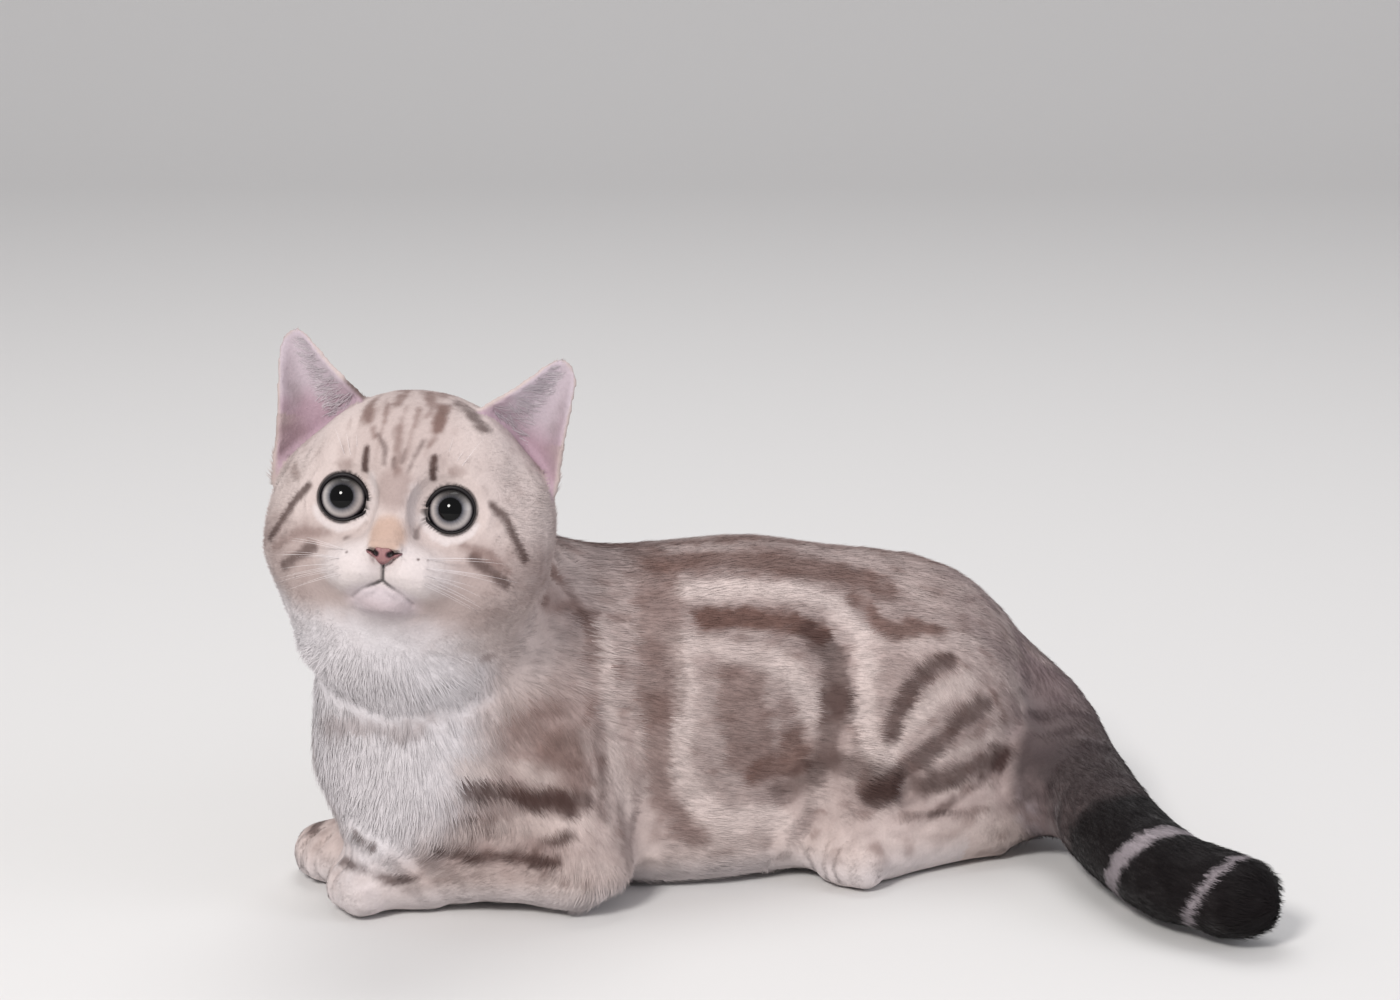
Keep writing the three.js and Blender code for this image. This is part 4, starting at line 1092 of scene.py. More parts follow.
def finer_face(mesh):
    """Keeps the skin's largest body and divides it once more round the eyes, nose and mouth."""
    shape = bmesh.new()
    shape.from_mesh(mesh)
    largest_body(shape)
    chosen = on_features(in_head(np.array([v.co for v in shape.verts])))
    shape.verts.index_update()
    edges = [e for e in shape.edges if chosen[e.verts[0].index] and chosen[e.verts[1].index]]
    bmesh.ops.subdivide_edges(shape, edges=edges, cuts=1, use_grid_fill=True)
    shape.to_mesh(mesh)
    shape.free()


def on_features(local):
    """Which places are round the eyes, the nose and the mouth."""
    x, y, z = local.T
    eyes = np.hypot(abs(x) - EYE_OUT, z) < 11.5
    muzzle = (abs(x) < 13) & (z < -6) & (z > -31)
    return (y < 2) & (eyes | muzzle)


def edge_array(mesh):
    """A mesh's edges as an array of vertex pairs."""
    return read_array(mesh.edges, "vertices", 2, np.int32)


def neighbour_counts(edges, count):
    """How many neighbours each of a mesh's vertices has."""
    return np.bincount(edges.ravel(), minlength=count).astype(float)


def neighbour_mean(values, edges, counts):
    """The mean of each vertex's neighbours."""
    first, second = edges.T
    total = np.zeros_like(values)
    for column, row in enumerate(values.T):
        for here, there in ((first, second), (second, first)):
            total[:, column] += np.bincount(here, row[there], len(row))
    return total / counts[:, None]


def settled(values, edges, rounds, share=0.5):
    """Values spread over their neighbours for a number of rounds."""
    counts = neighbour_counts(edges, len(values))
    for _ in range(rounds):
        values = values + share * (neighbour_mean(values, edges, counts) - values)
    return values


def smoothed(places, edges, rounds, strength):
    """Places smoothed without shrinking, by a strength at each."""
    counts = neighbour_counts(edges, len(places))
    for _ in range(rounds):
        for share in (0.6, -0.62):
            step = neighbour_mean(places, edges, counts) - places
            places = places + share * strength[:, None] * step
    return places


def on_nodes(owner, names):
    """Which owners are among the named nodes."""
    return np.isin(owner, [FLESH_NODES.index(name) for name in names])


# Rounds in which the neck's seams are spread, and then filled.
SEAM_SPREAD = 140
SEAM_ROUNDS = 250


def without_collar(places, edges, owner):
    """Fills the creases on both sides of the neck, where the ruff runs over them in the fur."""
    counts = neighbour_counts(edges, len(places))
    head = ("head", *EAR_NODES)
    for group in (head, (*head, "neck")):
        share = settled(on_nodes(owner, group).astype(float)[:, None], edges, SEAM_SPREAD)[:, 0]
        seam = eased(0.15, 0.85, 4 * share * (1 - share))
        for _ in range(SEAM_ROUNDS):
            places = places + 0.5 * seam[:, None] * (neighbour_mean(places, edges, counts) - places)
    return places


def nearest_nodes(places):
    """The index in FLESH_NODES of the node nearest to each place."""
    corners, faces, owner = [], [], []
    for index, name in enumerate(FLESH_NODES):
        mesh = NODES[name].data
        base = len(corners)
        corners.extend(v.co for v in mesh.vertices)
        for polygon in mesh.polygons:
            faces.append([base + n for n in polygon.vertices])
            owner.append(index)
    tree = BVHTree.FromPolygons(corners, faces)
    return np.array([owner[tree.find_nearest(Vector(place))[2]] for place in places])


# The lids open on an almost round aperture with a corner towards the nose.
EYE_GAZE = (0, -1, 0.06)
CORNER_REACH = 0.8
CORNER_SLANT = -18
CORNER_WIDTH = 0.42


def aperture_at(turn, side):
    """Radius of the lids' opening, in millimetres, at an angle from the kitten's left, turning up."""
    return sizes().aperture / MM - 0.15 * np.abs(np.sin(turn)) + CORNER_REACH * corner_at(turn, side)


def corner_at(turn, side):
    """How near an angle is to the eye's inner corner, from 0 to 1."""
    inward = math.radians(180 - CORNER_SLANT if side > 0 else CORNER_SLANT)
    apart = np.abs((turn - inward + np.pi) % (2 * np.pi) - np.pi)
    return bell(apart / CORNER_WIDTH)


def eye_frame(side):
    """The eye's centre and its three directions in the head's frame: left, up and out."""
    out = unit(np.array(EYE_GAZE, float))
    left = unit(np.cross((0, 0, 1.0), out))
    return np.array([side * EYE_OUT, 0, 0]), left, np.cross(out, left), out


def from_eye(local, side):
    """Places from an eye's centre: their arms, how far aside and ahead of the eye, and the turn round it."""
    centre, left, up, out = eye_frame(side)
    arm = local - centre
    return arm, np.hypot(arm @ left, arm @ up), arm @ out, np.arctan2(arm @ up, arm @ left)


def past_the_margin(local, side):
    """How far each place is beyond the lids' opening, as an angle at the eyeball's centre, and its reach."""
    arm, aside, ahead, turn = from_eye(local, side)
    opening = np.arcsin(aperture_at(turn, side) / EYEBALL_RADIUS)
    return np.arctan2(aside, ahead) - opening, np.linalg.norm(arm, axis=1)


# How far the lids stand off the eyeball, and how far the opened skin is drawn back into it.
LID_HEIGHT = 0.75
SOCKET_DEPTH = 1.1


def with_lids(local):
    """Opens the skin over each eye and lifts it off the eyeball all round, as lids."""
    shell = EYEBALL_RADIUS + LID_HEIGHT
    inner = EYEBALL_RADIUS - SOCKET_DEPTH
    for side in SIDES.values():
        centre = eye_frame(side)[0]
        past, reach = past_the_margin(local, side)
        lifted = (reach + shell + np.sqrt((reach - shell) ** 2 + 0.25)) / 2
        radius = inner + (lifted - inner) * eased(-0.1, 0.02, past)
        near = (1 - eased(10.5, 12.5, reach)) * (1 - eased(0.55, 0.85, past))
        local = centre + (local - centre) * (1 + near * (radius / reach - 1))[:, None]
    return local


def lid_softness(local):
    """How much the skin round each eye is smoothed once the lids are made."""
    strength = np.zeros(len(local))
    for side in SIDES.values():
        past, reach = past_the_margin(local, side)
        strength += eased(0.06, 0.2, past) * (1 - eased(0.7, 1.0, past)) * (1 - eased(12, 14, reach))
    return 0.8 * strength


# The mouth: a parting down from the nose, then a line down and out on each side.
MOUTH_PARTING = ((0, -17.0), (0.2, -21.4))
MOUTH_LINE = ((0.2, -21.4), (1.6, -22.3), (3.4, -23.2), (5.6, -24.4), (7.2, -25.7), (8.6, -27.0))


def mouth_distance(local):
    """How far each place is from the mouth's lines, seen from the front, in millimetres."""
    flat = local[:, [0, 2]]
    mirrored = np.array(MOUTH_LINE) * (-1, 1)
    lines = (MOUTH_PARTING, MOUTH_LINE, mirrored)
    return np.min([line_distance(flat, line)[0] for line in lines], axis=0)


def mouth_shade(local):
    """How dark the mouth's line is at each place, as dark lip skin and painted shade in its groove: darkest
    in the middle, fading out along the lips.
    """
    x, y, z = local.T
    line = (1 - eased(0.1, 0.75, mouth_distance(local))) * (y < -4) * (z < -15)
    return line * (1 - 0.85 * eased(0.8, 6, abs(x)))


def with_mouth(local):
    """Draws the mouth's lines into the skin as soft grooves, with the chin set back under the lips."""
    x, y, z = local.T
    line = mouth_distance(local)
    groove = 0.7 * bell(line / 0.5) + 0.9 * bell(line / 2.0)
    # The lips stand out over the chin, and the pads beside the parting are full.
    pads = np.exp(-(((abs(x) - 6.5) / 5.5) ** 2) - ((z + 18.5) / 4.2) ** 2)
    under = eased(0.5, 3.0, -(z + 21.4 + 0.75 * abs(x))) * (1 - eased(-30, -36, z)) * (abs(x) < 16)
    front = 1 - eased(-9, -4, y)
    moved = local.copy()
    moved[:, 1] += (groove - 1.0 * pads + 0.9 * under) * front * (z < -12)
    return moved


def under_leather(local):
    """Presses the skin back where the nose leather lies over it."""
    x, y, z = local.T
    under = (1 - eased(3.6, 5.2, abs(x) + 0.5 * np.maximum(-13 - z, 0))) * eased(-17.4, -15.6, z)
    moved = local.copy()
    moved[:, 1] += 1.8 * under * (1 - eased(-13.2, -12.2, z)) * (y < -12)
    return moved


# Toes: grooves between them run back from the front of each paw, seen from above, in millimetres.
PAWS = (
    ((-88, 26), (-119, 38)),
    ((-88, 67), (-119, 62)),
    ((60, -1), (20, -6)),
    ((60, 97), (20, 102)),
)
TOE_WIDTH = 6.2
TOE_LENGTH = 13
GROOVE_WIDTH = 0.95
GROOVE_DEPTH = 1.5


def with_toes(places, normals):
    """Draws the grooves between the toes into the paws."""
    moved = places.copy()
    flat = places[:, :2] / MM
    for wrist, tip in PAWS:
        wrist, tip = np.array(wrist, float), np.array(tip, float)
        ahead = unit(tip - wrist)
        aside = (flat - tip) @ np.array((-ahead[1], ahead[0]))
        along = (tip - flat) @ ahead
        fan = aside * (1 + 0.012 * along)
        groove = sum(bell((fan - n * TOE_WIDTH) / GROOVE_WIDTH) for n in (-1, 0, 1))
        fade = (1 - eased(0.45 * TOE_LENGTH, TOE_LENGTH, along)) * (abs(aside) < 14) * (along > -8)
        low = (places[:, 2] > 0.0015) * (1 - eased(16, 22, places[:, 2] / MM))
        moved -= normals * (GROOVE_DEPTH * groove * fade * low * MM)[:, None]
    return moved


FIELDS = {"FLOAT": "value", "FLOAT_VECTOR": "vector", "FLOAT_COLOR": "color", "INT": "value"}


def store(mesh, name, kind, values):
    """Keeps values on a mesh's vertices under a name."""
    layer = mesh.attributes.new(name, kind, "POINT")
    layer.data.foreach_set(FIELDS[kind], np.ascontiguousarray(values).ravel())


def stored(mesh, name, width):
    """Values kept on a mesh's vertices."""
    layer = mesh.attributes[name]
    kind = np.int32 if layer.data_type == "INT" else np.float32
    return read_array(layer.data, FIELDS[layer.data_type], width, kind)


def with_alpha(colour):
    """Colours with a full fourth channel."""
    return np.hstack([colour, np.ones((len(colour), 1))]).astype(np.float32)


# Which way the hair lies: each line is a run of hair, in the head's frame or on the left of the body.
HEAD_LIE = (
    ((0, -21, -9), (0, -15, 4), (0, -9, 16), (0, 0, 27), (0, 18, 34), (0, 36, 30), (0, 52, 12)),
    ((4, -19, -7), (8, -10, 5), (10, -7, 14), (16, 2, 26), (20, 16, 30)),
    ((5, -19, -10), (11, -10, -8), (20, -6, -9), (30, -2, -8), (38, 8, -8), (42, 24, -4), (38, 42, 0)),
    ((14, -7, 9), (24, -2, 11), (32, 8, 10), (36, 18, 6), (36, 34, 4)),
    ((3, -22, -16), (9, -20, -19), (16, -13, -20), (26, -5, -22), (36, 8, -24), (38, 26, -20), (34, 42, -14)),
    ((2, -20, -24), (6, -14, -31), (14, -4, -38), (20, 12, -42), (22, 30, -40)),
    ((0, -17, -25), (0, -12, -31), (0, 0, -37), (0, 16, -42)),
    ((14, -10, -27), (22, 0, -34), (28, 12, -38), (30, 28, -34)),
    ((20, 16, 27), (27, 18, 34), (38, 18, 46)),
    ((38, 20, 6), (42, 20, 24), (41, 19, 44)),
    ((30, 26, 18), (36, 24, 32), (40, 20, 45)),
)
BODY_LIE = (
    (
        (-84, 30, 130),
        (-58, 44, 108),
        (-20, 47, 104),
        (40, 47, 102),
        (85, 47, 90),
        (108, 47, 70),
        (114, 44, 55),
    ),
    ((-66, 2, 108), (-46, 6, 92), (-20, 8, 84), (30, 8, 80), (70, 8, 74), (100, 20, 56)),
    ((-116, 4, 92), (-118, 6, 70), (-114, 14, 46), (-110, 28, 26)),
    ((-126, 30, 92), (-124, 36, 66), (-116, 46, 40), (-110, 47, 20)),
    ((-88, -12, 96), (-82, -8, 74), (-72, -4, 54), (-60, 0, 40)),
    ((-44, 2, 66), (0, 1, 58), (40, 0, 54), (74, -2, 46), (96, 4, 34)),
    ((-40, 2, 24), (0, 5, 20), (40, 2, 20), (60, 4, 16)),
    ((-80, 47, 3), (-20, 47, 1), (50, 47, 1), (100, 47, 6)),
    ((-56, 0, 62), (-48, -4, 40), (-42, 0, 20)),
    ((-46, 4, 14), (-66, 14, 14), (-88, 25, 14), (-112, 34, 12), (-122, 36, 8)),
    ((64, 4, 72), (74, -6, 52), (84, -8, 34), (92, -6, 18)),
    ((93, 3, 12), (64, -1, 12), (36, -4, 12), (18, -5, 8)),
)
TAIL_LIE = (
    TAIL_LINE,
    tuple((x - 14, y, max(z - 4, 8)) for x, y, z in TAIL_LINE),
    tuple((x + 12, y, z) for x, y, z in TAIL_LINE),
    tuple((x, y, z + 14) for x, y, z in TAIL_LINE),
)


def hair_runs():
    """Every straight run of hair as a start and an end, in metres."""
    runs = []

    def add(line):
        runs.extend(zip(line[:-1], line[1:]))

    for line in HEAD_LIE:
        line = np.array(line, float)
        add(on_head(line))
        add(on_head(line * (-1, 1, 1)))
    for line in BODY_LIE:
        line = np.array(line, float)
        add(line * MM)
        add((line * (1, -1, 1) + (0, 2 * MIDLINE, 0)) * MM)
    for line in TAIL_LIE:
        add(np.array(line, float) * MM)
    return runs


def lie_of(places, normals):
    """The direction in which the hair lies at each place, along the skin."""
    total = np.zeros_like(places)
    for start, end in hair_runs():
        run = end - start
        distance = line_distance(places, (start, end))[0]
        total += unit(run) / ((distance**2 + (3 * MM) ** 2) ** 1.5)[:, None]
    lie = unit(total)
    # Round each eye the hair turns outwards.
    local = in_head(places)
    for side in SIDES.values():
        arm, aside, ahead, _ = from_eye(local, side)
        near = np.exp(-np.maximum(aside - 6.5, 0) / 2.5) * (ahead > 0) * (aside < 14)
        outward = unit(arm - ahead[:, None] * eye_frame(side)[3]) @ HEAD_TURN.T
        lie = unit(lie + 2.0 * near[:, None] * outward)
    return laid_along(lie, normals)


class KITTEN_OT_skin(bpy.types.Operator):
    """Makes the one skin of the kitten's body, with lids and the line of the mouth"""

    bl_idname = "kitten.skin"
    bl_label = "Skin"

    def execute(self, context):
        whole = swollen_nodes()
        set_points(whole, enlarged(points_of(whole)))
        mesh = remeshed(whole, sizes().skin_step)
        set_points(mesh, restored(points_of(mesh)))
        finer_face(mesh)
        edges = edge_array(mesh)
        places = points_of(mesh)
        owner = nearest_nodes(places)
        strength = np.array([of_node(SMOOTHING, name, 1.0) for name in FLESH_NODES])[owner]
        depth = np.array([of_node(COAT_DEPTH, name, BODY_DEPTH) for name in FLESH_NODES])[owner]
        face = on_features(in_head(places))
        strength = np.where(face, FACE_SMOOTHING, strength)
        depth = np.where(face, FACE_DEPTH, depth)
        strength, depth = settled(np.stack([strength, depth], axis=1), edges, 10).T
        places = smoothed(places, edges, 24, strength)
        set_points(mesh, places)
        places = places - normals_of(mesh) * ((depth + SWELL) * MM)[:, None]
        places = smoothed(places, edges, 4, 0.6 * strength)
        places = without_collar(places, edges, owner)
        set_points(mesh, places)
        places = with_toes(places, normals_of(mesh))
        local = under_leather(with_mouth(with_lids(in_head(places))))
        local = smoothed(local, edges, 10, lid_softness(local))
        places = on_head(local)
        places[:, 2] = np.maximum(places[:, 2], SKIN_CLEARANCE)
        set_points(mesh, places)
        # An ear's two sides are too close together for their directions to be evened out.
        ears = on_nodes(owner, EAR_NODES)
        even = settled(normals_of(mesh), edges, 4)
        normals = unit(np.where(ears[:, None], normals_of(mesh), even))
        lie = settled(lie_of(places, normals), edges, 4)
        store(mesh, "Lie", "FLOAT_VECTOR", unit(np.where(ears[:, None], lie_of(places, normals), lie)))
        store(mesh, "Up", "FLOAT_VECTOR", normals)
        store(mesh, "Owner", "INT", owner.astype(np.int32))
        # The skin darkens along the mouth's line, as dark lip skin and painted shade in its groove.
        store(mesh, "Coat", "FLOAT_COLOR", with_alpha(coat_colour(places) * lip_and_shade_share(places)))
        mesh.name = "skin"
        skin = finished(mesh, "skin", pelt_material())
        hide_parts(*FLESH_NODES)
        context.view_layer.objects.active = skin
        skin.select_set(True)
        bpy.ops.object.mode_set(mode="EDIT")
        bpy.ops.mesh.select_all(action="SELECT")
        bpy.ops.uv.smart_project(angle_limit=math.radians(66), island_margin=0.003)
        bpy.ops.object.mode_set(mode="OBJECT")
        skin.select_set(False)
        return {"FINISHED"}


def lip_and_shade_share(places):
    """How far the mouth's line darkens the skin at each place, as dark lip skin and painted shade in its
    groove.
    """
    return (1 - 0.7 * mouth_shade(in_head(places)))[:, None]


# The coat


def strands(roots, lies, normals, lengths, widths, tilts, segments, seed, flatness=0.45, roundness=0.28):
    """Thin tapered tufts as arrays: places, triangles, normals, how far along its tuft each place is,
    and the number of places in a tuft.

    Each is a closed needle with three sides, which rises from the skin by its tilt. With more than one
    segment it bends back to the skin.
    """
    random = np.random.default_rng(seed)
    count = len(roots)
    across = unit(np.cross(normals, lies))
    rings, shades, alongs = [], [], []
    bend = 0.45 if segments > 1 else 0
    # Tufts are flat: wider along the skin than they are thick.
    spin = random.uniform(-0.35, 0.35, count) + np.pi * (random.random(count) < 0.5)
    for ring in range(segments):
        share = ring / segments
        forward = lengths * share
        rise = lengths * np.tan(tilts) * (share - bend * share * share)
        centre = roots + lies * forward[:, None] + normals * rise[:, None]
        radius = widths / 2 * (1 - share) ** 0.7
        for corner in range(3):
            angle = spin + corner * 2 * np.pi / 3
            aside = across * np.cos(angle)[:, None] * 1.15 + normals * np.sin(angle)[:, None] * flatness
            rings.append(centre + aside * radius[:, None])
            shades.append(unit(normals + roundness * aside))
            alongs.append(np.full(count, share))
    rise = lengths * np.tan(tilts) * (1 - bend)
    rings.append(roots + lies * lengths[:, None] + normals * rise[:, None])
    shades.append(normals)
    alongs.append(np.ones(count))
    faces = [(0, 2, 1)]
    for ring in range(segments - 1):
        for corner in range(3):
            here, there = 3 * ring + corner, 3 * ring + (corner + 1) % 3
            faces += [(here, there, here + 3), (there, there + 3, here + 3)]
    last = 3 * (segments - 1)
    faces += [(last, last + 1, last + 3), (last + 1, last + 2, last + 3), (last + 2, last, last + 3)]
    stride = len(rings)
    places = np.stack(rings, axis=1).reshape(-1, 3)
    places[:, 2] = np.maximum(places[:, 2], HAIR_CLEARANCE)
    shade = np.stack(shades, axis=1).reshape(-1, 3)
    along = np.stack(alongs, axis=1).ravel()
    triangles = (np.arange(count)[:, None, None] * stride + np.array(faces)[None]).reshape(-1, 3)
    return places, triangles, shade, along, stride


# The width of a tuft's patch on the map, as a share of the map.
TUFT_PATCH = 0.003


def tuft_mesh(name, parts, root_map, colour, seed):
    """A mesh of tufts with the attributes that the hair material reads, and its map for baking."""
    places, triangles, shade, along, stride = parts
    mesh = bpy.data.meshes.new(name)
    mesh.vertices.add(len(places))
    mesh.vertices.foreach_set("co", places.astype(np.float32).ravel())
    mesh.loops.add(triangles.size)
    mesh.loops.foreach_set("vertex_index", triangles.astype(np.int32).ravel())
    mesh.polygons.add(len(triangles))
    mesh.polygons.foreach_set("loop_start", np.arange(0, triangles.size, 3, dtype=np.int32))
    mesh.update(calc_edges=True)
    store(mesh, "Coat", "FLOAT_COLOR", with_alpha(np.repeat(colour, stride, axis=0)))
    store(mesh, "Along", "FLOAT", along.astype(np.float32))
    store(mesh, "custom_normal", "FLOAT_VECTOR", shade.astype(np.float32))
    # Each tuft is a small patch of the map, at its root's place on the skin's own unwrap.
    random = np.random.default_rng(seed)
    shift = random.uniform(-0.15, 0.15, (len(places), 2)) * TUFT_PATCH
    corners = np.array([(math.cos(turn), math.sin(turn)) for turn in (0.5, 2.6, 4.7)])
    aside = np.tile(corners, (stride // 3 + 1, 1))[:stride]
    reach = np.linspace(0.5, 0.2, stride)[:, None] * aside
    patch = np.repeat(root_map, stride, axis=0) + np.tile(reach, (len(root_map), 1)) * TUFT_PATCH + shift
    layer = mesh.uv_layers.new(name="OFBake")
    layer.data.foreach_set("uv", patch[triangles.ravel()].astype(np.float32).ravel())
    mesh.validate()
    return mesh


def skin_triangles(skin):
    """The skin's triangles: their vertices and their corners' places on the map."""
    mesh = skin.data
    mesh.calc_loop_triangles()
    corners = read_array(mesh.loop_triangles, "vertices", 3, np.int32)
    loops = read_array(mesh.loop_triangles, "loops", 3, np.int32)
    return corners, read_array(mesh.uv_layers.active.data, "uv", 2)[loops]


def scattered(skin, density, seed):
    """Even random roots over the skin for a number of tufts per square metre at each vertex."""
    corners, maps = skin_triangles(skin)
    places = points_of(skin.data)
    a, b, c = (places[corners[:, n]] for n in range(3))
    area = np.linalg.norm(np.cross(b - a, c - a), axis=1) / 2
    wanted = area * density[corners].mean(1)
    random = np.random.default_rng(seed)
    count = np.floor(wanted + random.random(len(wanted))).astype(int)
    index = np.repeat(np.arange(len(corners)), count)
    u, v = random.random(len(index)), random.random(len(index))
    over = u + v > 1
    u, v = np.where(over, 1 - u, u), np.where(over, 1 - v, v)
    weight = np.stack([1 - u - v, u, v], axis=1)
    return corners[index], weight, (maps[index] * weight[:, :, None]).sum(1)


def mixed(values, corners, weight):
    """Values kept at vertices, read at roots between them."""
    if values.ndim == 1:
        return (values[corners] * weight).sum(1)
    return (values[corners] * weight[:, :, None]).sum(1)


def hair_fields(skin):
    """The skin's vertices, with the hair's length and width and the tufts per square metre at each."""
    size = sizes()
    mesh = skin.data
    places = points_of(mesh)
    owner = stored(mesh, "Owner", 1)
    lengths_by_node = {
        "head": size.cheek_hair,
        "ear": size.ear_hair,
        "neck": size.chest_hair,
        "chest": size.chest_hair,
        "upper_arm": 0.5 * (size.body_hair + size.leg_hair),
        "forearm": size.leg_hair,
        "thigh": 0.5 * (size.body_hair + size.leg_hair),
        "forepaw": size.paw_hair,
        "hind_foot": size.paw_hair,
        "tail": size.tail_hair,
    }
    length = np.array([of_node(lengths_by_node, name, size.body_hair) for name in FLESH_NODES])[owner]
    local = in_head(places)
    # Hair is shortest beside the nose and between the eyes, and grows towards the cheeks and crown.
    back = np.linalg.norm((local - (0, -20, -12)) * (1, 1.15, 1), axis=1)
    face = size.face_hair + (size.cheek_hair - size.face_hair) * eased(8, 54, back) ** 1.15
    crown = 1 - 0.4 * eased(4, 20, local[:, 2])
    length = np.where(on_nodes(owner, ["head"]), face * crown, length)
    edges = edge_array(mesh)
    length = settled(length[:, None], edges, 70)[:, 0]
    for side in SIDES.values():
        past, reach = past_the_margin(local, side)
        length *= 1 - 0.55 * (1 - eased(0.1, 0.6, past)) * (reach < 14)
    width = (0.12 + 0.052 * (length / MM)) * MM
    density = size.coverage / (length * width)
    # Fewer tufts where the kitten lies on the floor, and none in the eyes, the nose or the mouth.
    density *= 0.35 + 0.65 * eased(0.002, 0.006, places[:, 2])
    paws = [name for name in FLESH_NODES if name.startswith(("forepaw", "hind_foot"))]
    density *= np.where(on_nodes(owner, paws), 0.8, 1)
    density *= 1 - 0.75 * ear_inside(local)
    across, rise, _ = in_ear(local)
    # The rims of the ears are bare, so that their outline stays clean.
    on_ears = on_nodes(owner, EAR_NODES) & (local[:, 2] > 22)
    density *= np.where(on_ears & ((abs(across) > 0.9) | (rise > 0.93)), 0, 1)
    density *= open_skin(local)
    return places, length, width, density


def open_skin(local):
    """1 where the skin carries hair, 0 between the lids, under the nose leather and in the mouth's line."""
    keep = np.ones(len(local))
    for side in SIDES.values():
        _, aside, ahead, turn = from_eye(local, side)
        keep = np.where((ahead > 0) & (aside < aperture_at(turn, side) + 0.8), 0, keep)
    front = (local[:, 1] < -6) & (local[:, 2] < -14)
    keep = np.where(front & (mouth_distance(local) < 0.4), 0, keep)
    leather = (abs(local[:, 0]) < 5.6 - 0.5 * np.maximum(0, -12 - local[:, 2])) & (local[:, 1] < -14)
    return np.where(leather & (local[:, 2] < -11.6) & (local[:, 2] > -17), 0, keep)


# Pieces of the coat, each with its nodes and its material slot. A piece takes the roots on its nodes.
COAT_PIECES = {
    "coat_face_left": (("head",), "light_coat"),
    "coat_face_right": (("head",), "light_coat"),
    "coat_head": (("head",), "light_coat"),
    "coat_ears": (("ear_left", "ear_right"), "inner_ear"),
    "coat_neck": (("neck",), "light_coat"),
    "coat_chest": (("chest",), "white_coat"),
    "coat_flank_left": (("belly",), "marked_coat"),
    "coat_flank_right": (("belly",), "marked_coat"),
    "coat_rump": (("rump",), "marked_coat"),
    "coat_foreleg_left": (("upper_arm_left", "forearm_left", "forepaw_left"), "marked_coat"),
    "coat_foreleg_right": (("upper_arm_right", "forearm_right", "forepaw_right"), "marked_coat"),
    "coat_hind_leg_left": (("thigh_left", "hind_foot_left"), "marked_coat"),
    "coat_hind_leg_right": (("thigh_right", "hind_foot_right"), "marked_coat"),
    "coat_tail": (("tail_base", "tail_middle", "tail_tip"), "dark_coat"),
}
# A tuft has four triangles, so this keeps a piece under 200,000.
MOST_TUFTS = 49500


# Where the face's pieces end and the rest of the head begins, in the head's frame.
FACE_BACK = 6


def piece_mask(name, nodes, owner, places):
    """Which roots belong to a piece of the coat."""
    local = in_head(places)
    front = local[:, 1] < FACE_BACK
    left = places[:, 1] < MIDLINE * MM
    halves = {
        "coat_face_left": front & (local[:, 0] > 0),
        "coat_face_right": front & (local[:, 0] <= 0),
        "coat_head": ~front,
        "coat_flank_left": left,
        "coat_flank_right": ~left,
    }
    return on_nodes(owner, nodes) & halves.get(name, True)


# How far a tuft's root lies under the skin, in metres.
ROOT_DEPTH = 0.0003


class KITTEN_OT_coat(bpy.types.Operator):
    """Covers the skin with short tufts that lie along the body, in one piece for each part of it"""

    bl_idname = "kitten.coat"
    bl_label = "Coat"

    def execute(self, context):
        skin = bpy.data.objects["skin"]
        places, length, width, density = hair_fields(skin)
        corners, weight, root_map = scattered(skin, density, seed=21)
        random = np.random.default_rng(22)
        roots = mixed(places, corners, weight)
        normals = unit(mixed(stored(skin.data, "Up", 3).astype(float), corners, weight))
        lies = mixed(stored(skin.data, "Lie", 3).astype(float), corners, weight)
        owner = stored(skin.data, "Owner", 1)[corners[:, 0]]
        count = len(roots)
        # Tufts stray a little from the lie, in soft patches and one by one.
        across = np.cross(normals, lies)
        stray = 0.16 * cloud(roots / MM, 7, 31) + random.normal(0, 0.13, count)
        lies = laid_along(lies + across * stray[:, None], normals)
        length = mixed(length, corners, weight) * random.uniform(0.75, 1.2, count)
        width = mixed(width, corners, weight) * random.uniform(0.75, 1.3, count)
        tilt = 4.5 + 2.5 * eased(1.5, 4.5, length / MM) + 1.5 * cloud(roots / MM, 5, 32)
        tilt = np.radians(np.clip(tilt + random.normal(0, 2, count), 2, 20))
        # The marks lie where a tuft's middle is seen, not at its root.
        colour = coat_colour(roots + lies * (0.5 * length)[:, None])
        tone = 1 + 0.06 * cloud(roots / MM, 1.6, 33) + random.normal(0, 0.05, count)
        colour = np.clip(colour * tone[:, None], 0, 1)
        roots = roots - normals * ROOT_DEPTH
        tilt = np.where(on_nodes(owner, EAR_NODES), 0.6 * tilt, tilt)
        for number, (name, (nodes, slot)) in enumerate(COAT_PIECES.items()):
            chosen = np.flatnonzero(piece_mask(name, nodes, owner, roots))
            if len(chosen) > MOST_TUFTS:
                chosen = np.sort(random.permutation(chosen)[:MOST_TUFTS])
            rows = (values[chosen] for values in (roots, lies, normals, length, width, tilt))
            # The ears' thin hair takes the light more round each tuft.
            parts = strands(*rows, 1, number, roundness=1.6 if name == "coat_ears" else 0.4)
            mesh = tuft_mesh(name, parts, root_map[chosen], colour[chosen], number)
            finished(mesh, name, hair_material())
        return {"FINISHED"}


class KITTEN_OT_eyes(bpy.types.Operator):
    """Makes both eyeballs with their corneas, and the dark margins of the lids"""

    bl_idname = "kitten.eyes"
    bl_label = "Eyes"

    def execute(self, context):
        material = eye_material()
        rim = rim_material()
        for name, side in SIDES.items():
            piece = finished(eyeball(side), f"eye_{name}_ball", material)
            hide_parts(f"eye_{name}")
            finished(lid_margin(side), f"lid_margin_{name}", rim)
        return {"FINISHED"}


# How far the cornea stands out, and how far round from the eye's axis it reaches.
CORNEA_RISE = 0.7
CORNEA_EDGE = math.radians(46)


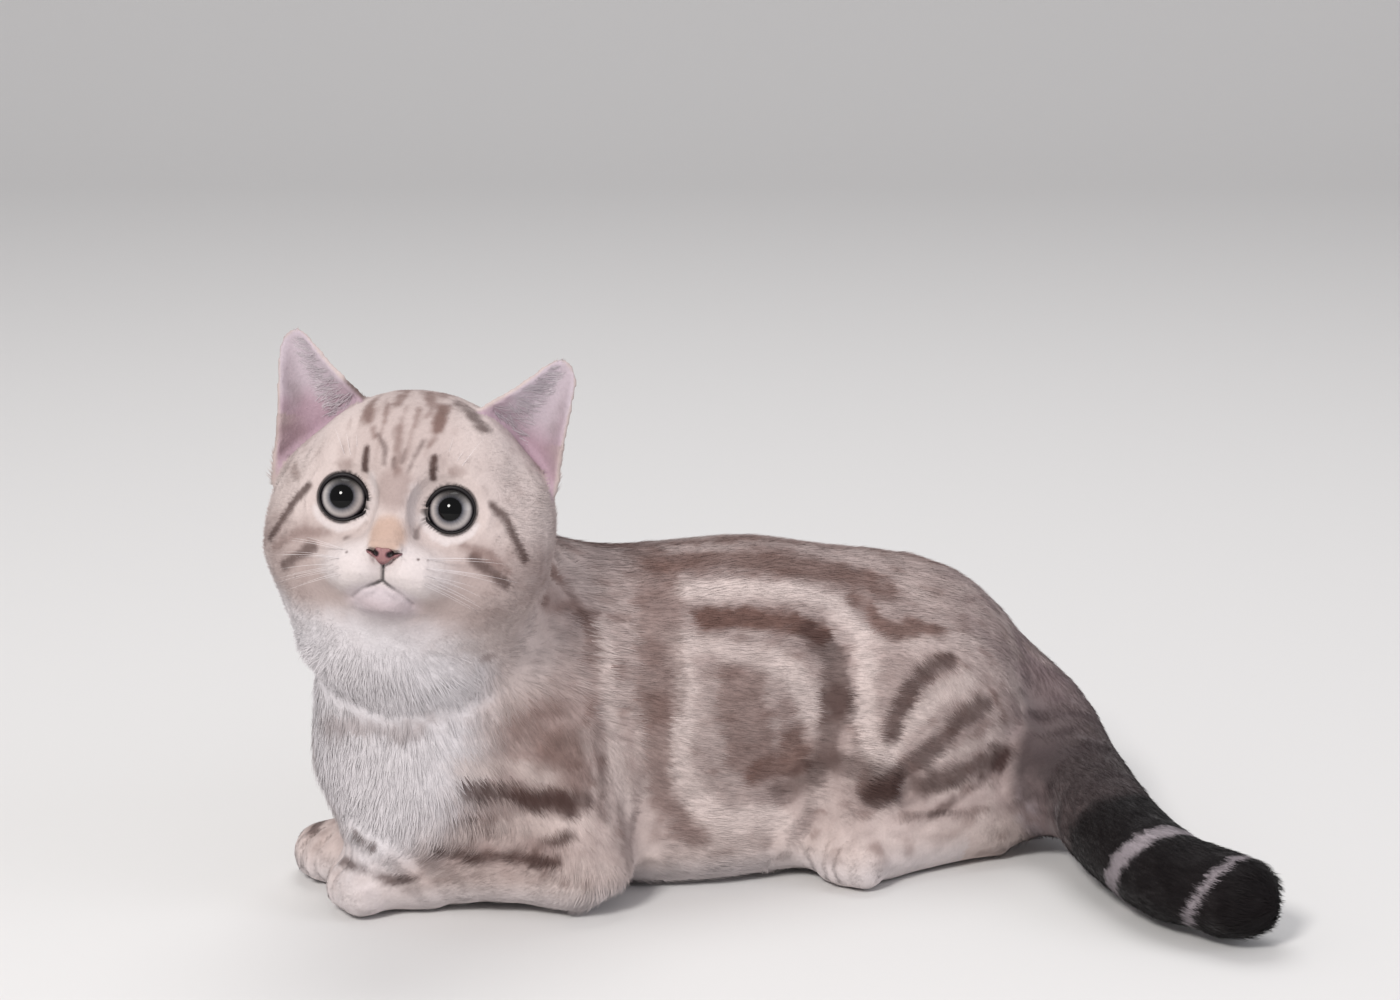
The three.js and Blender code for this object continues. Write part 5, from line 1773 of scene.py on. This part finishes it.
def eyeball(side):
    """An eyeball with its cornea standing out in front, and a flat map of its face for the iris."""
    centre, left, up, out = eye_frame(side)
    shape = bmesh.new()
    bmesh.ops.create_uvsphere(shape, u_segments=64, v_segments=48, radius=EYEBALL_RADIUS)
    layer = shape.loops.layers.uv.new("Iris")
    for face in shape.faces:
        for loop in face.loops:
            x, y, _ = loop.vert.co
            loop[layer].uv = (0.5 + x / (2 * EYEBALL_RADIUS), 0.5 + y / (2 * EYEBALL_RADIUS))
    for vertex in shape.verts:
        polar = math.acos(max(-1, min(1, vertex.co.z / EYEBALL_RADIUS)))
        bulge = max(0, 1 - (polar / CORNEA_EDGE) ** 2) ** 2 * CORNEA_RISE
        vertex.co *= 1 + bulge / EYEBALL_RADIUS
    for vertex in shape.verts:
        x, y, z = vertex.co
        vertex.co = on_head(centre + left * x + up * y + out * z)
    bmesh.ops.recalc_face_normals(shape, faces=shape.faces)
    return from_bmesh(shape, "eyeball")


def ring_tube(points, radii):
    """A closed ring of tube along points in metres, with its own radius at each, as a mesh."""
    curve = bpy.data.curves.new("tube", "CURVE")
    curve.dimensions = "3D"
    curve.bevel_depth = 1.0
    curve.bevel_resolution = 2
    spline = curve.splines.new("POLY")
    spline.points.add(len(points) - 1)
    spline.use_cyclic_u = True
    for point, place, radius in zip(spline.points, points, radii):
        point.co = (*place, 1)
        point.radius = radius
    mesh = mesh_from(in_scene("carrier", curve))
    shape = merged(mesh, FINE_JOIN)
    bmesh.ops.recalc_face_normals(shape, faces=shape.faces)
    shape.to_mesh(mesh)
    shape.free()
    return mesh


def lid_margin(side):
    """The dark edge of the lids, thicker above and towards the nose."""
    centre, left, up, out = eye_frame(side)
    points, radii = [], []
    for turn in np.linspace(0, 2 * np.pi, 72, endpoint=False):
        height = max(0, math.sin(turn))
        spread = aperture_at(turn, side) - 0.28 - 0.3 * height
        polar = math.asin(spread / EYEBALL_RADIUS)
        aside = left * math.cos(turn) + up * math.sin(turn)
        reach = EYEBALL_RADIUS + 0.4 + 0.3 * corner_at(turn, side)
        points.append(on_head(centre + (aside * math.sin(polar) + out * math.cos(polar)) * reach))
        inward = max(0, -side * math.cos(turn))
        radii.append((0.3 + 0.38 * height + 0.15 * inward) * MM)
    return ring_tube(points, radii)


# The edge of the leather's mesh, in metres, and a nostril's slit in x and z of the head's frame.
LEATHER_STEP = 0.00028
NOSTRIL = ((1.9, -14.0), (3.2, -13.2), (5.2, -12.6))


class KITTEN_OT_nose(bpy.types.Operator):
    """Makes the nose leather with its nostrils"""

    bl_idname = "kitten.nose"
    bl_label = "Nose"

    def execute(self, context):
        mesh = remeshed(from_bmesh(merged(NODES["nose"].data, JOIN), "nose"), LEATHER_STEP)
        edges = edge_array(mesh)
        places = smoothed(points_of(mesh), edges, 6, np.full(len(mesh.vertices), 1.0))
        local = in_head(places)
        x, y, z = local.T
        slit = line_distance(np.stack([abs(x), z], axis=1), NOSTRIL)[0]
        nostril = slit / (0.95 - 0.1 * abs(x))
        sink = 1.1 * (1 - eased(0.3, 1.3, nostril)) * (y < -15)
        cleft = 0.3 * bell(x / 0.5) * (y < -15)
        # The hair of the bridge comes down over the top of the leather.
        sunk = 3.0 * eased(-12.6, -11.0, z + 0.04 * x**2)
        local[:, 1] += sink + cleft + sunk
        set_points(mesh, on_head(local))
        # The leather is darker round its edge; the near black in the nostrils is painted shade in their
        # hollows.
        edge = eased(3.4, 5.0, abs(x)) + eased(0.4, 1.8, -15.2 - z) + 0.5 * eased(-13.0, -11.8, z)
        dusk = np.clip(0.5 * edge, 0, 0.5) + (1 - eased(0.7, 1.5, nostril))
        store(mesh, "Dusk", "FLOAT", np.clip(dusk, 0, 1).astype(np.float32))
        piece = finished(mesh, "nose_leather", nose_material())
        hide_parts("nose")
        return {"FINISHED"}


# Tufts in each ear.
EAR_TUFTS = 210


class KITTEN_OT_ear_hair(bpy.types.Operator):
    """Lays long pale hair across the inside of the ears, from their inner edges"""

    bl_idname = "kitten.ear_hair"
    bl_label = "Ear hair"

    def execute(self, context):
        random = np.random.default_rng(51)
        places, lies, normals, lengths = [], [], [], []
        for side in SIDES.values():
            across = random.uniform(-0.96, -0.3, EAR_TUFTS)
            rise = random.uniform(-0.05, 0.86, EAR_TUFTS)
            step = 0.04
            here = ear_sheet(across, rise)
            ahead = unit(ear_sheet(across + step, rise + 0.01) - here)
            up = unit(ear_sheet(across, rise + step) - here)
            front = unit(np.cross(ahead, up))
            front = np.where(front[:, 1:2] > 0, -front, front)
            lean = 0.5 * (rise - 0.1) + 0.25 * cloud(here, 6, 54)
            lie = unit(ahead + up * lean[:, None] + random.normal(0, 0.2, (EAR_TUFTS, 3)))
            lengths.append(random.uniform(0.5, 0.85, EAR_TUFTS) * ear_width(rise))
            mirror = np.array((side, 1, 1))
            places.append(on_head((here + front * (EAR_THICKNESS / 2 - 0.1)) * mirror))
            lies.append((lie * mirror) @ HEAD_TURN.T)
            normals.append((front * mirror) @ HEAD_TURN.T)
        places, lies, normals, lengths = map(np.concatenate, (places, lies, normals, lengths))
        lies = laid_along(lies, normals)
        count = len(places)
        parts = strands(
            places,
            lies,
            normals,
            lengths * MM,
            random.uniform(0.16, 0.3, count) * MM,
            np.radians(random.uniform(5, 12, count)),
            4,
            52,
        )
        tone = random.normal(1, 0.05, (count, 1))
        colour = np.clip(np.array(colours().ear_hair_pale) * tone, 0, 1)
        mesh = tuft_mesh("ear_hair", parts, random.random((count, 2)), colour, 53)
        finished(mesh, "ear_hair", hair_material())
        return {"FINISHED"}


# How deep a whisker is rooted and how thick it is, in metres, and the angle at which it rises.
WHISKER_ROOT = 0.0006
WHISKER_WIDTH = 0.15 * MM
WHISKER_LIFT = math.radians(14)


class KITTEN_OT_whiskers(bpy.types.Operator):
    """Sets the whiskers on the muzzle and the brow hairs"""

    bl_idname = "kitten.whiskers"
    bl_label = "Whiskers"

    def execute(self, context):
        skin = bpy.data.objects["skin"]
        tree = BVHTree.FromObject(skin, context.evaluated_depsgraph_get())
        random = np.random.default_rng(41)
        roots, lies, normals, lengths = [], [], [], []
        reach = sizes().whisker
        for side in SIDES.values():
            for row in range(4):
                for column in range(3 + row % 2):
                    start = np.array([side * (8.2 + 2.3 * column), -30, -14.0 - 2.1 * row])
                    aim = np.array([side, 0.42 + 0.08 * column, 0.0 - 0.17 * row])
                    roots.append(start)
                    lies.append(aim + random.normal(0, 0.06, 3))
                    lengths.append(reach * random.uniform(0.6, 1.0) * (1 - 0.1 * abs(row - 1)))
            for n in range(3):
                roots.append(np.array([side * (12.5 + 1.8 * n), -30, 10 + 0.5 * n]))
                lies.append(np.array([side * (0.25 + 0.2 * n), 0.25, 1.0]) + random.normal(0, 0.06, 3))
                lengths.append(reach * random.uniform(0.3, 0.45))
        ahead = Vector(HEAD_TURN @ np.array([0, 1.0, 0]))
        starts = []
        for start in roots:
            place, normal, _, _ = tree.ray_cast(Vector(on_head(start)), ahead)
            starts.append(np.array(place) - np.array(normal) * WHISKER_ROOT)
            normals.append(HEAD_TURN @ np.array([0, -0.7, 0.7]))
        lies = unit(np.array(lies)) @ HEAD_TURN.T
        normals = laid_along(np.array(normals), lies)
        count = len(starts)
        parts = strands(
            np.array(starts),
            lies,
            normals,
            np.array(lengths),
            np.full(count, WHISKER_WIDTH),
            np.full(count, WHISKER_LIFT),
            9,
            42,
            flatness=1,
            roundness=1,
        )
        white = np.tile(np.array(colours().keratin), (count, 1))
        mesh = tuft_mesh("whiskers", parts, np.random.default_rng(43).random((count, 2)), white, 44)
        finished(mesh, "whiskers", keratin_material())
        return {"FINISHED"}


# The photograph's view: where the camera looks, the direction back to it, its distance and its lens.
VIEW_TARGET = Vector((0.0094, 0.04655, 0.112))
VIEW_BACK = Vector((-0.3971, -0.8919, 0.2164))
VIEW_DISTANCE = 1.15
VIEW_LENS = 95.86
# The studio paper, in metres: its width and its ends, and where its curved sweep starts. It is turned
# to face the camera, in degrees.
VIEW_TURN = -24
PAPER_WIDTH = 6.0
PAPER_FRONT = -2.5
PAPER_TOP = 3.0
SWEEP_START = 1.6
SWEEP_RADIUS = 0.8
SWEEP_STEPS = 12
# The studio's lights: name, place, width, power in watts and colour.
LIGHTS = (
    ("key", (-1.1, -1.05, 1.2), 0.42, 25, "#FFFCF9"),
    ("fill", (1.1, -1.1, 0.7), 0.9, 5, "#F3F4FF"),
    ("top", (0.2, 0.5, 1.4), 1.0, 7, "#FFFFFF"),
)


class KITTEN_OT_stage(bpy.types.Operator):
    """Sets up the pale floor, the soft studio light and the camera"""

    bl_idname = "kitten.stage"
    bl_label = "Stage"

    def execute(self, context):
        scene = context.scene
        # The paper runs flat under the kitten and sweeps up well behind it.
        shape = bmesh.new()
        line = [(PAPER_FRONT, 0), (SWEEP_START, 0)]
        for step in range(1, SWEEP_STEPS + 1):
            angle = math.pi / 2 * step / SWEEP_STEPS
            back = SWEEP_START + SWEEP_RADIUS * math.sin(angle)
            line.append((back, SWEEP_RADIUS - SWEEP_RADIUS * math.cos(angle)))
        line.append((SWEEP_START + SWEEP_RADIUS, PAPER_TOP))
        profile = [shape.verts.new((-PAPER_WIDTH / 2, y, z)) for y, z in line]
        edges = [shape.edges.new(pair) for pair in zip(profile[:-1], profile[1:])]
        swept = bmesh.ops.extrude_edge_only(shape, edges=edges)["geom"]
        moved = [v for v in swept if isinstance(v, bmesh.types.BMVert)]
        bmesh.ops.translate(shape, verts=moved, vec=(PAPER_WIDTH, 0, 0))
        bmesh.ops.recalc_face_normals(shape, faces=shape.faces)
        mesh = from_bmesh(shape, "floor")
        mesh.transform(Matrix.Rotation(math.radians(VIEW_TURN), 4, "Z"))
        mesh.materials.append(paper_material())
        mesh.shade_smooth()
        floor = in_scene("floor", mesh)

        world = bpy.data.worlds.new("studio")
        world.use_nodes = True
        background = world.node_tree.nodes["Background"]
        background.inputs["Color"].default_value = (*linear("#F4F3F6"), 1)
        background.inputs["Strength"].default_value = 0.55
        scene.world = world
        scene.view_settings.view_transform = "Standard"
        for name, place, size, power, colour in LIGHTS:
            lamp = bpy.data.lights.new(name, "AREA")
            lamp.shape = "DISK"
            lamp.size = size
            lamp.energy = power
            lamp.color = linear(colour)
            holder = in_scene(name, lamp)
            holder.location = place
            aim = VIEW_TARGET - Vector(place)
            holder.rotation_euler = aim.to_track_quat("-Z", "Y").to_euler()

        camera = bpy.data.cameras.new("view")
        camera.lens = VIEW_LENS
        camera.sensor_width = 36
        camera.clip_start, camera.clip_end = 0.05, 20
        holder = in_scene("view", camera)
        holder.location = VIEW_TARGET + VIEW_BACK.normalized() * VIEW_DISTANCE
        holder.rotation_mode = "QUATERNION"
        holder.rotation_quaternion = (-VIEW_BACK).to_track_quat("-Z", "Y")
        scene.camera = holder
        return {"FINISHED"}


class KITTEN_PT_panel(bpy.types.Panel):
    """Lists the kitten's sizes, colours and pieces"""

    bl_label = "Kitten"
    bl_idname = "KITTEN_PT_panel"
    bl_space_type = "VIEW_3D"
    bl_region_type = "UI"
    bl_category = "Kitten"

    def draw(self, context):
        layout = self.layout
        for group in (context.scene.kitten_sizes, context.scene.kitten_colours):
            column = layout.column(align=True)
            for name in group.bl_rna.properties.keys():
                if name not in ("rna_type", "name"):
                    column.prop(group, name)
        for operator in OPERATORS:
            layout.operator(operator.bl_idname)


OPERATORS = (
    KITTEN_OT_stage,
    KITTEN_OT_skin,
    KITTEN_OT_eyes,
    KITTEN_OT_nose,
    KITTEN_OT_coat,
    KITTEN_OT_ear_hair,
    KITTEN_OT_whiskers,
)
CLASSES = (KittenSizes, KittenColours, *OPERATORS, KITTEN_PT_panel)


def register():
    for item in CLASSES:
        bpy.utils.register_class(item)
    bpy.types.Scene.kitten_sizes = bpy.props.PointerProperty(type=KittenSizes)
    bpy.types.Scene.kitten_colours = bpy.props.PointerProperty(type=KittenColours)


def unregister():
    del bpy.types.Scene.kitten_colours
    del bpy.types.Scene.kitten_sizes
    for item in reversed(CLASSES):
        bpy.utils.unregister_class(item)


def main():
    """Makes every piece in order."""
    register()
    bpy.ops.kitten.stage()
    bpy.ops.kitten.skin()
    bpy.ops.kitten.eyes()
    bpy.ops.kitten.nose()
    bpy.ops.kitten.coat()
    bpy.ops.kitten.ear_hair()
    bpy.ops.kitten.whiskers()


if __name__ == "__main__":
    main()
